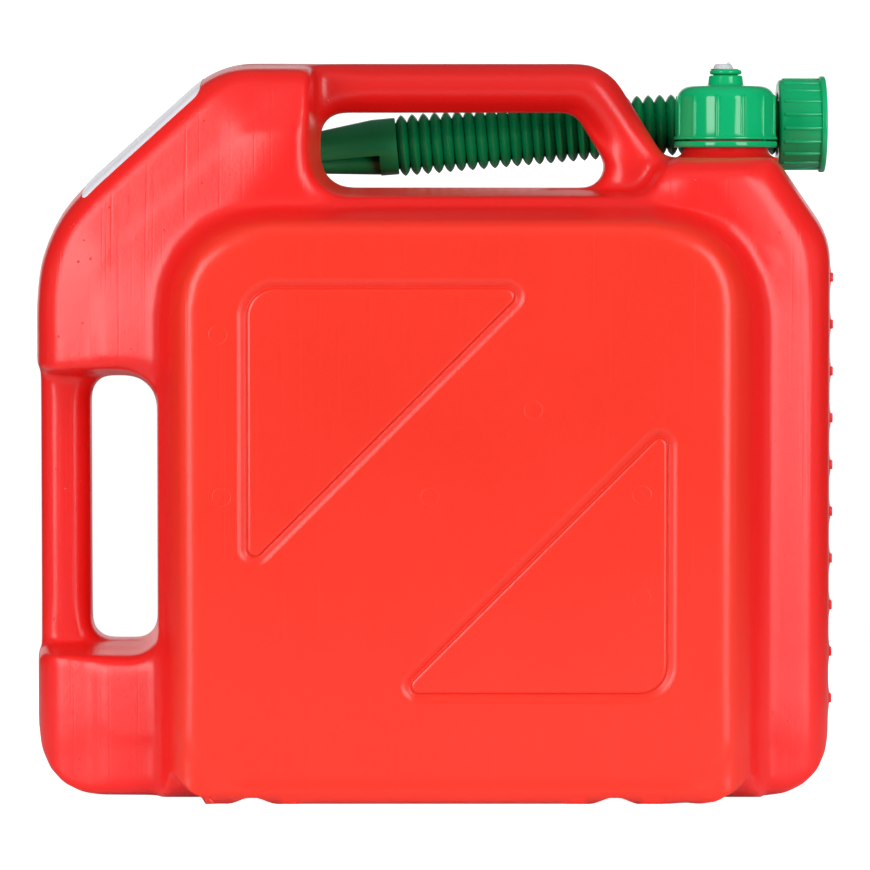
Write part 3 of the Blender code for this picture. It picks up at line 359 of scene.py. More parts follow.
for vertex in skin.data.vertices:
    x, y, z = vertex.co
    corner = max(ease((-0.100 - x) / 0.012), ease((x - 0.122) / 0.012)) * ease((0.072 - z) / 0.03)
    if corner > 0.01 and abs(y) > 0.016:
        to_end = end_x - abs(x)
        inside = z
        if to_end < foot_radius and z < foot_radius:
            inside = foot_radius - Vector((foot_radius - to_end, foot_radius - z)).length
        here = front(x, max(z, near_floor), 1 if y > 0 else -1)
        up = level("up", round(x, 4), x, 0.060 if x < -0.125 else 0.085)
        foot = level("mid", round(z, 4), 0, max(z, near_floor))
        frame_foot = edge_round(inside, 0.012)
        foot = frame_foot + (foot - frame_foot) * float(ease((up - 0.057) / 0.012))
        wanted = -blunt_minimum(-blunt_minimum(up, foot, 0.0016), -here, 0.0007)
        if here > 0.02:
            share = corner * min(wanted / here - 1, 0.35) * ease((abs(y) - 0.015) / 0.03)
            moves.append((vertex.index, y * (1 + share)))
    elif x > 0.105 and z > 0.2 and 0.045 < abs(y) < 0.066:
        inside = inside_lines(x, z, right_edges)
        facet = min(facet_low + (inside - 0.0138) * facet_slope, facet_high)
        wanted = blunt_minimum(facet, edge_round(shelf_z - z, 0.0145), 0.0012)
        if wanted > abs(y):
            share = (ease((x - 0.105) / 0.03) * ease((z - 0.25) / 0.03)
                     * ease((inside - 0.010) / 0.012))
            moves.append((vertex.index, y + (1 if y > 0 else -1) * (wanted - abs(y)) * share))
for index, depth in moves:
    skin.data.vertices[index].co.y = depth
channel_x, channel_half, channel_high = 0.0915, 0.0150, 0.0046
for vertex in skin.data.vertices:
    x, y, z = vertex.co
    off = abs(abs(x) - channel_x) / channel_half
    if off < 1.6 and z < channel_high + 0.0006:
        arch = channel_high * (0.5 + 0.5 * cos(pi * min(off, 1)))
        if arch < z:
            here = level("mid", round(z, 4), 0, max(z, near_floor))
            there = level("mid", round(arch, 4), 0, max(arch, near_floor))
            vertex.co.z = arch
            vertex.co.y = y * (1 + (there / here - 1) * float(ease((abs(y) - 0.04) / 0.02)))
for vertex in skin.data.vertices:
    vertex.co.z = max(vertex.co.z - 0.0006 * max(0, 1 - vertex.co.z / 0.02), 0)

# Pressed triangles: two grooves on each side panel, pressed by ribs in the mould's face. Their
# outer wall is soft and their inner wall is crisp.

upper_tip = Vector((-0.0992, 0.2661))
lower_tip = Vector((0.1231, 0.0512))
upper_leg, lower_leg = 0.1590, 0.1534
square_corner_round = 0.0195
tip_round = 0.0095
panel_face = 0.086
groove_walls = [(0.15, 0.0), (0.50, 0.05), (1.00, 0.18), (1.50, 0.34), (2.00, 0.51), (2.40, 0.68),
                (2.80, 0.90), (3.40, 1.25), (4.00, 1.60), (4.60, 1.92), (4.90, 2.04),
                (5.15, 2.06), (5.35, 1.92), (5.50, 1.50), (5.65, 1.05), (5.80, 0.66),
                (5.95, 0.45), (6.15, 0.34), (6.60, 0.19), (7.00, 0.05), (7.20, 0.01),
                (7.40, 0.0)]
pressed_low, pressed_high = Vector((-0.104, 0.044)), Vector((0.130, 0.2705))
quite_flat, end_flat = 0.99995, 0.995
thin_to = 0.815


def rounded_triangle(tip, way, leg):
    """Outline of a right-angled triangle with rounded corners, as points in x and z."""
    corners = [tip, tip + Vector((0, -way * leg)), tip + Vector((way * leg, 0))]
    points = []
    rounds = (square_corner_round, tip_round, tip_round)
    for i, (corner, radius) in enumerate(zip(corners, rounds)):
        back = (corners[i - 1] - corner).normalized()
        ahead = (corners[(i + 1) % 3] - corner).normalized()
        half = back.angle(ahead) / 2
        centre = corner + (back + ahead).normalized() * radius / sin(half)
        start = corner + back * radius / tan(half) - centre
        end = corner + ahead * radius / tan(half) - centre
        turn = start.angle_signed(end)
        points += [centre + Matrix.Rotation(-turn * k / 16, 2) @ start for k in range(17)]
    return points


take(skin)
for face in skin.data.polygons:
    corners = [skin.data.vertices[i].co for i in face.vertices]
    face.select = all(abs(c.y) > panel_face - 0.0008 and pressed_low.x < c.x < pressed_high.x
                      and pressed_low.y < c.z < pressed_high.y for c in corners)
for face in skin.data.polygons:
    if face.select:
        for corner in [skin.data.vertices[i].co for i in face.vertices]:
            corner.y = panel_face if corner.y > 0 else -panel_face
bpy.ops.object.mode_set(mode="EDIT")
bpy.ops.mesh.select_mode(type="FACE")
bpy.ops.mesh.delete(type="FACE")
bpy.ops.object.mode_set(mode="OBJECT")

for side in (-1, 1):
    pressed = []
    for tip, way, leg in ((upper_tip, 1, upper_leg), (lower_tip, -1, lower_leg)):
        points = rounded_triangle(tip, way, leg)
        nothing_selected()
        bpy.ops.mesh.primitive_circle_add(vertices=len(points), radius=0.05, fill_type="NGON")
        triangle = bpy.context.object
        for vertex, point in zip(triangle.data.vertices, points):
            vertex.co = (point.x, side * panel_face, point.y)
        triangle.data.update()
        bpy.ops.object.mode_set(mode="EDIT")
        bpy.ops.mesh.select_all(action="SELECT")
        if triangle.data.polygons[0].normal.y * side < 0:
            bpy.ops.mesh.flip_normals()
        bpy.ops.mesh.select_mode(type="FACE")
        reached = (0.0, 0.0)
        for across, down in groove_walls:
            bpy.ops.mesh.inset(thickness=(across - reached[0]) / 1000,
                               depth=-(down - reached[1]) / 1000)
            reached = (across, down)
        bpy.ops.object.mode_set(mode="OBJECT")
        pressed.append(triangle)
    take(skin)
    for triangle in pressed:
        triangle.select_set(True)
    bpy.ops.object.join()
    bpy.ops.object.mode_set(mode="EDIT")
    bpy.ops.mesh.select_mode(type="EDGE")
    bpy.ops.mesh.select_all(action="DESELECT")
    bpy.ops.mesh.select_non_manifold(extend=False, use_wire=False, use_boundary=True,
                                     use_multi_face=False, use_non_contiguous=False,
                                     use_verts=False)
    bpy.ops.object.mode_set(mode="OBJECT")
    for edge in skin.data.edges:
        middle = sum((skin.data.vertices[i].co for i in edge.vertices), Vector()) / 2
        edge.select = edge.select and abs(middle.y - side * panel_face) < 0.0001
    bpy.ops.object.mode_set(mode="EDIT")
    bpy.ops.mesh.fill(use_beauty=True)
    bpy.ops.object.mode_set(mode="OBJECT")
faced_out(skin)
for face in skin.data.polygons:
    corners = [skin.data.vertices[i].co for i in face.vertices]
    face.select = all((c.x - neck_x) ** 2 + c.y ** 2 < (neck_bore + 0.002) ** 2
                      and c.z > shelf_z - 0.003 for c in corners)
bpy.ops.object.mode_set(mode="EDIT")
bpy.ops.mesh.select_mode(type="FACE")
bpy.ops.mesh.delete(type="FACE")
bpy.ops.object.mode_set(mode="OBJECT")
lining.select_set(True)
bpy.context.view_layer.objects.active = skin
bpy.ops.object.join()
# Flat places need few triangles, so they are thinned, but not where they meet a curve.
is_flat = [max(abs(vertex.normal.y), abs(vertex.normal.z)) > quite_flat
           or abs(vertex.normal.x) > end_flat for vertex in skin.data.vertices]
at_curve = set()
for edge in skin.data.edges:
    if not all(is_flat[i] for i in edge.vertices):
        at_curve.update(edge.vertices)
flat_places = skin.vertex_groups.new(name="flat_places")
flat_places.add([i for i in range(len(is_flat)) if i not in at_curve], 1.0, "REPLACE")
thinned = skin.modifiers.new("thinned", "DECIMATE")
thinned.ratio = thin_to
thinned.vertex_group = "flat_places"
apply_all(skin)
bpy.ops.object.shade_smooth()

# Finish of the can: satin red polyethylene. It has the fine grain of the blasted mould, small
# raised specks, hair-fine scratches, a flash line round the middle and faint pin marks.

can_red = (0.84, 0.014, 0.012)
pin_radius, pin_width = 0.0046, 0.0004
flash_half = 0.0006
pin_places = ((-0.1078, 0.2374), (0.0501, 0.1995), (-0.0016, 0.156), (0.1046, 0.157),
              (0.1046, 0.1053), (-0.1061, 0.156))


def scaled_noise(tree, coords, scale, stretch=(1, 1, 1), detail=3.0, rough=0.55):
    """Noise on Object coordinates, stretched along an axis if asked."""
    mapping = fill_in(tree, tree.nodes.new("ShaderNodeMapping"), Vector=coords, Scale=stretch)
    noise = fill_in(tree, tree.nodes.new("ShaderNodeTexNoise"), Vector=mapping.outputs[0],
                    Scale=scale, Detail=detail, Roughness=rough)
    return noise.outputs["Fac"]


def mixed(tree, share, first, second, way="MIX"):
    """A colour between two, by a share. The first one is a plain colour or a socket."""
    mix = tree.nodes.new("ShaderNodeMix")
    mix.data_type = "RGBA"
    mix.blend_type = way
    link(tree, share, mix.inputs[0])
    if isinstance(first, bpy.types.NodeSocket):
        link(tree, first, mix.inputs[6])
    else:
        mix.inputs[6].default_value = (*first, 1)
    mix.inputs[7].default_value = (*second, 1)
    return mix.outputs[2]


def raised(tree, height, strength, distance):
    """The normal of a surface that a height raises."""
    bump = fill_in(tree, tree.nodes.new("ShaderNodeBump"), Height=height, Strength=strength,
                   Distance=distance)
    return bump.outputs["Normal"]


def group_with(name, inputs, outputs):
    """An empty shader node group with named sockets, its input node and its output node."""
    group = bpy.data.node_groups.new(name, "ShaderNodeTree")
    for label, kind, value in inputs:
        socket = group.interface.new_socket(label, in_out="INPUT", socket_type=kind)
        if value is not None:
            socket.default_value = value
    for label in outputs:
        group.interface.new_socket(label, in_out="OUTPUT", socket_type="NodeSocketFloat")
    return group, group.nodes.new("NodeGroupInput"), group.nodes.new("NodeGroupOutput")


def place_group(tree, group, **values):
    """Put a group in a material, with its numbers or links set by socket name."""
    node = tree.nodes.new("ShaderNodeGroup")
    node.node_tree = group
    return fill_in(tree, node, **values)


moulded_grain, grain_in, grain_out = group_with(
    "moulded_grain",
    [("Place", "NodeSocketVector", None), ("Grain size", "NodeSocketFloat", 900.0),
     ("Scratches", "NodeSocketFloat", 1.0), ("Specks", "NodeSocketFloat", 1.0)],
    ["Height", "Dullness", "Tone"])
coords = grain_in.outputs["Place"]
fine = fill_in(moulded_grain, moulded_grain.nodes.new("ShaderNodeTexNoise"), Vector=coords,
               Scale=grain_in.outputs["Grain size"], Detail=2.0)
peel = scaled_noise(moulded_grain, coords, 140, detail=1.0)
upright = scaled_noise(moulded_grain, coords, 60, stretch=(9, 0.5, 0.12), detail=1.0, rough=0.5)
lines = math_node(moulded_grain, "MULTIPLY_ADD", upright, 4.0, -2.4)
lines = math_node(moulded_grain, "MULTIPLY", math_node(moulded_grain, "MAXIMUM", lines, 0.0),
                  grain_in.outputs["Scratches"])
cells = fill_in(moulded_grain, moulded_grain.nodes.new("ShaderNodeTexVoronoi"), Vector=coords,
                Scale=130)
speck = math_node(moulded_grain, "MULTIPLY_ADD", cells.outputs["Distance"], -12.0, 1.0)
speck = math_node(moulded_grain, "MAXIMUM", speck, 0.0)
patchy = math_node(moulded_grain, "GREATER_THAN", scaled_noise(moulded_grain, coords, 26), 0.48)
speck = math_node(moulded_grain, "MULTIPLY", math_node(moulded_grain, "MULTIPLY", speck, patchy),
                  grain_in.outputs["Specks"])
height = math_node(moulded_grain, "MULTIPLY", fine.outputs["Fac"], 0.18)
height = math_node(moulded_grain, "MULTIPLY_ADD", peel, 0.30, height)
height = math_node(moulded_grain, "MULTIPLY_ADD", lines, -0.21, height)
height = math_node(moulded_grain, "MULTIPLY_ADD", speck, 1.1, height)
haze = scaled_noise(moulded_grain, coords, 14)
fill_in(moulded_grain, grain_out, Height=height,
        Dullness=math_node(moulded_grain, "MULTIPLY_ADD", lines, 0.25, haze),
        Tone=scaled_noise(moulded_grain, coords, 7, detail=4.0))

pin_mark, pin_in, pin_out = group_with(
    "pin_mark",
    [("Place", "NodeSocketVector", None), ("Centre", "NodeSocketVector", None)],
    ["Ring"])
flat = pin_mark.nodes.new("ShaderNodeVectorMath")
flat.operation = "MULTIPLY"
flat.inputs[1].default_value = (1, 0, 1)
link(pin_mark, pin_in.outputs["Place"], flat.inputs[0])
from_centre = pin_mark.nodes.new("ShaderNodeVectorMath")
from_centre.operation = "DISTANCE"
link(pin_mark, flat.outputs[0], from_centre.inputs[0])
link(pin_mark, pin_in.outputs["Centre"], from_centre.inputs[1])
off_ring = math_node(pin_mark, "ABSOLUTE",
                     math_node(pin_mark, "SUBTRACT", from_centre.outputs["Value"], pin_radius))
thin_ring = math_node(pin_mark, "SUBTRACT", 1.0,
                      math_node(pin_mark, "DIVIDE", off_ring, pin_width))
link(pin_mark, math_node(pin_mark, "MAXIMUM", thin_ring, 0.0), pin_out.inputs["Ring"])

red, red_tree, red_shader = new_material("red_polyethylene_skin")
red_place = red_tree.nodes.new("ShaderNodeTexCoord").outputs["Object"]
split = red_tree.nodes.new("ShaderNodeSeparateXYZ")
link(red_tree, red_place, split.inputs[0])
from_flash = math_node(red_tree, "ABSOLUTE", split.outputs["Y"])
on_panel = rise(red_tree, from_flash, 0.070, 0.085)
red_grain = place_group(red_tree, moulded_grain, Place=red_place,
                        Specks=math_node(red_tree, "MULTIPLY_ADD", on_panel, -0.8, 1.0))
flash = math_node(red_tree, "SUBTRACT", 1.0,
                  math_node(red_tree, "DIVIDE", from_flash, flash_half))
marks = math_node(red_tree, "MAXIMUM", flash, 0.0)
for x, z in pin_places:
    one = place_group(red_tree, pin_mark, Place=red_place, Centre=(x, 0, z))
    marks = math_node(red_tree, "MULTIPLY_ADD", one.outputs["Ring"], 0.22, marks)
skin_tone = mixed(red_tree, red_grain.outputs["Tone"],
                  (can_red[0] * 0.93, can_red[1] * 0.8, can_red[2] * 0.8),
                  (can_red[0] * 1.05, can_red[1] * 1.25, can_red[2] * 1.2))
# Painted light: the raised panels get extra green, a warmer tint that stands in for the hue of
# their brighter lighting.
skin_tone = mixed(red_tree, on_panel, skin_tone, (0.0, 0.015, 0.0), "ADD")
# Painted shade: the top handle's colour is darkened, standing in for the weaker light that reaches
# it up there.
handle_painted_shade = rise(red_tree, split.outputs["Z"], 0.335, 0.350, kind="LINEAR")
handle_painted_shade = math_node(red_tree, "MULTIPLY", handle_painted_shade,
                    math_node(red_tree, "LESS_THAN", from_flash, 0.030))
skin_tone = mixed(red_tree, handle_painted_shade, skin_tone, (0.82, 0.80, 0.80), "MULTIPLY")
red_height = math_node(red_tree, "MULTIPLY_ADD", marks, 1.2, red_grain.outputs["Height"])
fill_in(red_tree, red_shader, Base_Color=skin_tone,
        Roughness=math_node(red_tree, "MULTIPLY_ADD", red_grain.outputs["Dullness"], 0.05, 0.28),
        Normal=raised(red_tree, red_height, 0.7, 0.00035), IOR=1.52, Subsurface_Weight=0.12,
        Subsurface_Radius=(1.0, 0.12, 0.08), Subsurface_Scale=0.004)
skin.data.materials.append(red)
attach(skin, "can")
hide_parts("can_body")

# Filler neck: moulded in one with the can, trimmed flat at its rim, with a soft collar at its
# foot that carries the ring, and one and a half turns of thread for the cap or the spout.

neck_radius = 0.0188
neck_rim = 0.3590
collar_top = 0.3302
thread_pitch = 0.006
thread_rise = 0.0018
thread_low = 0.3470
thread_turns, inner_turns = 1.5, 1.25


def turned(name, profile, steps=64, closed=True):
    """Draw a profile of (radius, height) as a chain of edges in edit mode, and spin it about Z."""
    nothing_selected()
    bpy.ops.mesh.primitive_plane_add(size=0.01, location=(0, 0, 0))
    piece = bpy.context.object
    piece.name = name
    bpy.ops.object.mode_set(mode="EDIT")
    bpy.ops.mesh.select_mode(type="VERT")
    bpy.ops.mesh.merge(type="CENTER")
    bpy.ops.transform.translate(value=(profile[0][0], 0, profile[0][1]))
    for (r0, z0), (r1, z1) in zip(profile, profile[1:]):
        bpy.ops.mesh.extrude_vertices_move(
            TRANSFORM_OT_translate={"value": (r1 - r0, 0, z1 - z0)})
    bpy.ops.mesh.select_all(action="SELECT")
    if closed:
        bpy.ops.object.mode_set(mode="OBJECT")
        piece.data.edges.add(1)
        piece.data.edges[-1].vertices = (0, len(profile) - 1)
        bpy.ops.object.mode_set(mode="EDIT")
        bpy.ops.mesh.select_all(action="SELECT")
    bpy.ops.mesh.spin(steps=steps, angle=2 * pi, center=(0, 0, 0), axis=(0, 0, 1))
    bpy.ops.mesh.select_all(action="SELECT")
    bpy.ops.mesh.remove_doubles(threshold=0.000002)
    bpy.ops.mesh.normals_make_consistent(inside=False)
    bpy.ops.mesh.select_all(action="DESELECT")
    bpy.ops.object.mode_set(mode="OBJECT")
    return piece


def rounded(piece, width):
    """Round a piece's edges with an applied bevel, and shade it."""
    bevel = piece.modifiers.new("rounded", "BEVEL")
    bevel.width = width
    bevel.segments = 2
    bevel.limit_method = "ANGLE"
    bevel.angle_limit = radians(35)
    bevel.use_clamp_overlap = True
    apply_all(piece)
    bpy.ops.object.shade_smooth_by_angle(angle=radians(40))


def put_at(piece, where):
    """Move a piece drawn about the origin to its frame, and fix its place in its mesh."""
    piece.matrix_world = where
    take(piece)
    bpy.ops.object.transform_apply(location=True, rotation=True, scale=True)
    return piece


def curve_points(centre, radius, start, end, steps=6):
    """Profile points on an arc from start to end, in degrees."""
    angles = [radians(start + (end - start) * k / steps) for k in range(steps + 1)]
    return [(centre[0] + radius * cos(a), centre[1] + radius * sin(a)) for a in angles]


def helix(name, root, ridge_out, low, turns):
    """One thread ridge, drawn as a flat section and wound up with a Screw modifier."""
    bury = -0.0006 if ridge_out > 0 else 0.0006
    nothing_selected()
    bpy.ops.mesh.primitive_plane_add(size=1, location=(0, 0, 0))
    ridge = bpy.context.object
    ridge.name = name
    section = [(root + bury, -0.0013), (root + ridge_out, -0.0006),
               (root + ridge_out, 0.0006), (root + bury, 0.0013)]
    for vertex, (r, z) in zip([ridge.data.vertices[i] for i in ridge.data.polygons[0].vertices],
                              section):
        vertex.co = (r, 0, low + z)
    wound = ridge.modifiers.new("wound", "SCREW")
    wound.angle = 2 * pi * turns
    wound.screw_offset = thread_pitch * turns
    wound.steps = wound.render_steps = round(48 * turns)
    wound.use_smooth_shade = False
    apply_all(ridge)
    faced_out(ridge)
    return ridge


def joined(first, *others):
    """Join pieces into the first one."""
    take(first)
    for other in others:
        other.select_set(True)
    bpy.ops.object.join()
    return first


collar_out = 0.0214
collar_flare = 0.0055
neck = turned("filler_neck", [
    (neck_bore, neck_rim), (neck_radius, neck_rim), (neck_radius, collar_top + 0.0020),
    *curve_points((neck_radius + 0.0012, collar_top + 0.0012), 0.0012, 180, 270, 3)[1:],
    *curve_points((collar_out - 0.0012, collar_top + 0.0002), 0.0012, 90, 0, 4),
    (collar_out + 0.0002, shelf_z + collar_flare),
    *curve_points((collar_out + 0.0002 + collar_flare, shelf_z + collar_flare), collar_flare,
                  180, 272, 8)[1:],
    (collar_out + collar_flare + 0.0005, shelf_z - 0.0020), (neck_bore, shelf_z - 0.0030)], 72)
rounded(neck, 0.0004)
neck_thread = helix("neck_thread", neck_radius, thread_rise, thread_low, thread_turns)
rounded(neck_thread, 0.0002)
neck = joined(neck, neck_thread)
put_at(neck, Matrix.Translation((neck_x, 0, 0)))
neck.data.materials.clear()
neck.data.materials.append(red)
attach(neck, "can")
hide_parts("can_body")

# Level marks: ten short bars up the narrow end face, one for every two litres. They are moulded
# in one with the skin, with rounded edges that let the mould off.

mark_low, mark_pitch, mark_count = 0.0460, 0.0243, 10
mark_size, mark_buried = (0.0024, 0.016, 0.0048), 0.0002


def copies(piece, places):
    """Copies of a piece, each with its own mesh fixed at a place. The piece is thrown away."""
    made = []
    for place in places:
        copy = piece.copy()
        copy.data = piece.data.copy()
        bpy.context.scene.collection.objects.link(copy)
        made.append(put_at(copy, place))
    bpy.data.objects.remove(piece)
    return made


nothing_selected()
bpy.ops.mesh.primitive_cube_add(size=1, location=(0, 0, 0))
mark = bpy.context.object
mark.name = "level_mark"
bpy.ops.object.mode_set(mode="EDIT")
bpy.ops.transform.resize(value=mark_size)
bpy.ops.mesh.bevel(offset=0.0006, segments=3, affect="EDGES")
bpy.ops.object.mode_set(mode="OBJECT")
level_marks = joined(*copies(mark, [
    Matrix.Translation((end_x - mark_buried, 0, mark_low + k * mark_pitch))
    for k in range(mark_count)]))
level_marks.name = "level_marks"
bpy.ops.object.shade_smooth_by_angle(angle=radians(40))
level_marks.data.materials.append(red)
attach(level_marks, "can")
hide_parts("can_body")

# Green plastics: the cap, the ring and the nut are injection moulded in glossy polypropylene,
# and the hose and nozzle are blow moulded in darker, softer polyethylene.


def green_plastic(name, colour, rough):
    """A glossy green with the moulded grain of the can, but finer and without specks."""
    material, tree, shader = new_material(name)
    place = tree.nodes.new("ShaderNodeTexCoord").outputs["Object"]
    grain = place_group(tree, moulded_grain, Place=place, Grain_size=1400.0, Scratches=0.4,
                        Specks=0.0)
    fill_in(tree, shader,
            Base_Color=mixed(tree, grain.outputs["Tone"], [c * 0.88 for c in colour],
                             [c * 1.12 for c in colour]),
            Roughness=math_node(tree, "MULTIPLY_ADD", grain.outputs["Dullness"], 0.12, rough),
            Normal=raised(tree, grain.outputs["Height"], 0.35, 0.0001),
            Subsurface_Weight=0.08, Subsurface_Radius=(0.3, 1.0, 0.4), Subsurface_Scale=0.002)
    return material


cap_green = green_plastic("cap_green", (0.002, 0.42, 0.150), 0.06)
nut_green = green_plastic("nut_green", (0.0, 0.43, 0.155), 0.16)
spout_green = green_plastic("spout_green", (0.0, 0.245, 0.075), 0.26)
hose_green = green_plastic("hose_green", (0.0, 0.28, 0.09), 0.17)

# Filler cap: an injection moulded screw cap with finger ribs, a thin flange at its foot, an
# inside thread and a small boss on top that takes the vent plug.

cap_foot = 0.3358
cap_top = 0.3634
boss_top = 0.3689
skirt_bore = 0.0210
skirt_out = 0.0253
flange_out = 0.0269
cap_ceiling = 0.3612
vent_bore = 0.0067
rib_count = 12
at_neck = Matrix.Translation((neck_x, 0, 0))


def finger_ribs(count, first, sides, radius, flat, low, high, reach):
    """Round-ended ribs in a ring about Z, each a sphere drawn out from low to high."""
    nothing_selected()
    bpy.ops.mesh.primitive_uv_sphere_add(segments=sides, ring_count=8, radius=radius)
    rib = bpy.context.object
    for vertex in rib.data.vertices:
        vertex.co.z += high if vertex.co.z > 0.0001 else low
        vertex.co.x *= flat
    return copies(rib, [Matrix.Rotation(2 * pi * (k + first) / count, 4, "Z")
                        @ Matrix.Translation((reach, 0, 0)) for k in range(count)])


cap = turned("screw_cap", [
    (skirt_bore, cap_foot), (flange_out - 0.0003, cap_foot), (flange_out, cap_foot + 0.0004),
    (flange_out - 0.0002, cap_foot + 0.0014), (flange_out - 0.0012, cap_foot + 0.0019),
    (skirt_out + 0.0006, cap_foot + 0.0021), (skirt_out + 0.0002, cap_foot + 0.0030),
    *curve_points((skirt_out - 0.0070, cap_top - 0.0070), 0.0070, 0, 84, 10),
    (0.0105, cap_top + 0.0001), (0.0094, cap_top + 0.0006), (0.0091, cap_top + 0.0014),
    (0.0087, boss_top - 0.0005), (0.0082, boss_top), (vent_bore, boss_top),
    (vent_bore, cap_ceiling), (skirt_bore, cap_ceiling)], 96)
rounded(cap, 0.0002)
ribs = finger_ribs(rib_count, 0.57, 16, 0.0015, 0.85, cap_foot + 0.0012, cap_top - 0.0062,
                   skirt_out - 0.0003)
cap_thread = helix("cap_thread", skirt_bore, -thread_rise, thread_low - thread_pitch / 2,
                   inner_turns)
cap = joined(cap, cap_thread, *ribs)
put_at(cap, at_neck)
bpy.ops.object.shade_smooth_by_angle(angle=radians(40))
cap.data.materials.append(cap_green)
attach(cap, "cap")
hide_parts("filler_cap")

# Ring below the cap: broken off the skirt when the cap is first opened, it hangs loose on the
# collar with a thin inward flap under the thread.

ring_top = 0.3350
ring_low = 0.3317
ring_out = 0.0267
ring_in = 0.0236
ring_edge = 0.0010
ring = turned("loose_ring", [
    (ring_in, ring_low),
    *curve_points((ring_out - ring_edge, ring_low + ring_edge), ring_edge, -90, 0, 4),
    *curve_points((ring_out - ring_edge, ring_top - ring_edge), ring_edge, 0, 90, 4),
    (ring_in, ring_top), (neck_radius + 0.0005, ring_top - 0.0008),
    (neck_radius + 0.0005, ring_top - 0.0017), (ring_in, ring_top - 0.0014)], 96)
rounded(ring, 0.00012)
put_at(ring, at_neck)
ring.data.materials.append(cap_green)
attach(ring, "ring")
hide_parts("tamper_ring")

# Vent plug: a push-in stem with a bowl-shaped rim, a rubber ring in its groove, and a milky
# insert on top with a small nib.

stem = vent_bore - 0.0003
disc_low = boss_top + 0.0003
disc_top = disc_low + 0.0026
stem_low = cap_ceiling + 0.0003
plug = turned("vent_stem", [
    (0, stem_low), (stem - 0.0005, stem_low), (stem, stem_low + 0.0005), (stem, stem_low + 0.0020),
    (stem - 0.0011, stem_low + 0.0020), (stem - 0.0011, stem_low + 0.0037),
    (stem, stem_low + 0.0037), (stem, disc_low), (stem + 0.0006, disc_low + 0.0002),
    *curve_points((0.0070, disc_low + 0.0014), 0.0013, -60, 90, 7),
    (0.0051, disc_top), (0.0051, disc_top - 0.0020), (0, disc_top - 0.0020)], 64, closed=False)
rounded(plug, 0.00012)
put_at(plug, at_neck)
plug.data.materials.append(cap_green)
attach(plug, "vent")
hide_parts("vent_plug")

insert_low = disc_top - 0.0017
insert_top = disc_top + 0.0030
insert = turned("vent_window", [
    (0, insert_low), (0.0048, insert_low), (0.0048, disc_top + 0.0001),
    (0.0074, disc_top + 0.0002), (0.0073, disc_top + 0.0006), (0.0052, disc_top + 0.0007),
    (0.0047, insert_top - 0.0008), (0.0042, insert_top - 0.0002), (0.0036, insert_top),
    (0, insert_top)], 64, closed=False)
rounded(insert, 0.00015)
nib = turned("vent_nib", [(0, insert_top - 0.001), (0.0009, insert_top - 0.001),
                          (0.0008, insert_top + 0.0007), (0.0005, insert_top + 0.0009),
                          (0, insert_top + 0.0009)], 16, closed=False)
put_at(nib, Matrix.Translation((0.0016, 0, 0)))
for vertex in insert.data.vertices:
    vertex.co.x -= 0.0013 * min(max((vertex.co.z - disc_top) / 0.0006, 0), 1)
insert = joined(insert, nib)
put_at(insert, at_neck)
bpy.ops.object.shade_smooth_by_angle(angle=radians(40))
milky, milky_tree, milky_shader = new_material("milky_polyethylene")
milky_place = milky_tree.nodes.new("ShaderNodeTexCoord").outputs["Object"]
milky_grain = place_group(milky_tree, moulded_grain, Place=milky_place, Scratches=0.0, Specks=0.0)
fill_in(milky_tree, milky_shader, Roughness=0.25, Subsurface_Weight=0.3, Subsurface_Scale=0.002,
        Base_Color=mixed(milky_tree, milky_grain.outputs["Dullness"], (0.50, 0.55, 0.56),
                         (0.66, 0.71, 0.72)))
insert.data.materials.append(milky)
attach(insert, "vent")
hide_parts("vent_insert")

# Rubber: the cap's gasket, the nut's gasket and the vent's ring are black nitrile, with a fine
# dull bloom. They keep their CAD shapes.

rubber, rubber_tree, rubber_shader = new_material("black_nitrile")
rubber_place = rubber_tree.nodes.new("ShaderNodeTexCoord").outputs["Object"]
bloom = scaled_noise(rubber_tree, rubber_place, 900)
fill_in(rubber_tree, rubber_shader,
        Base_Color=mixed(rubber_tree, bloom, (0.012, 0.012, 0.012), (0.030, 0.030, 0.030)),
        Roughness=math_node(rubber_tree, "MULTIPLY_ADD", bloom, 0.25, 0.5))
for node in ("cap_gasket", "nut_gasket", "vent_seal"):
    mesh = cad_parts[node].data
    mesh.materials.clear()
    mesh.materials.append(rubber)

# Spout hose: a corrugated tube of dark green polyethylene with sharp crests, plain cuffs at
# both ends, pushed into the nozzle's collar and the nut's sleeve. It sags a little to the left.

hose_crest = 0.0162
hose_root = 0.0130
hose_pitch = 0.0059
hose_ribs = 34
nut_x = 0.1820
spout_y = 0.0450
spout_z = 0.3443
spout_slope = radians(4.9)
hose_start = nut_x - 0.0003
hose_length = hose_ribs * hose_pitch
hose_x = hose_start - hose_length
hose_thick = 0.0013
nut_cuff_long, nozzle_cuff_long = 0.0056, 0.0080
bend_long = 0.070


def spout_height(x):
    """Height of the spout's axis: level at the nut, then bent down to a slope."""
    past = max(nut_x - 2 * hose_crest - x, 0.0)
    if past < bend_long:
        return spout_z - tan(spout_slope) * past ** 2 / (2 * bend_long)
    return spout_z - tan(spout_slope) * (past - bend_long / 2)


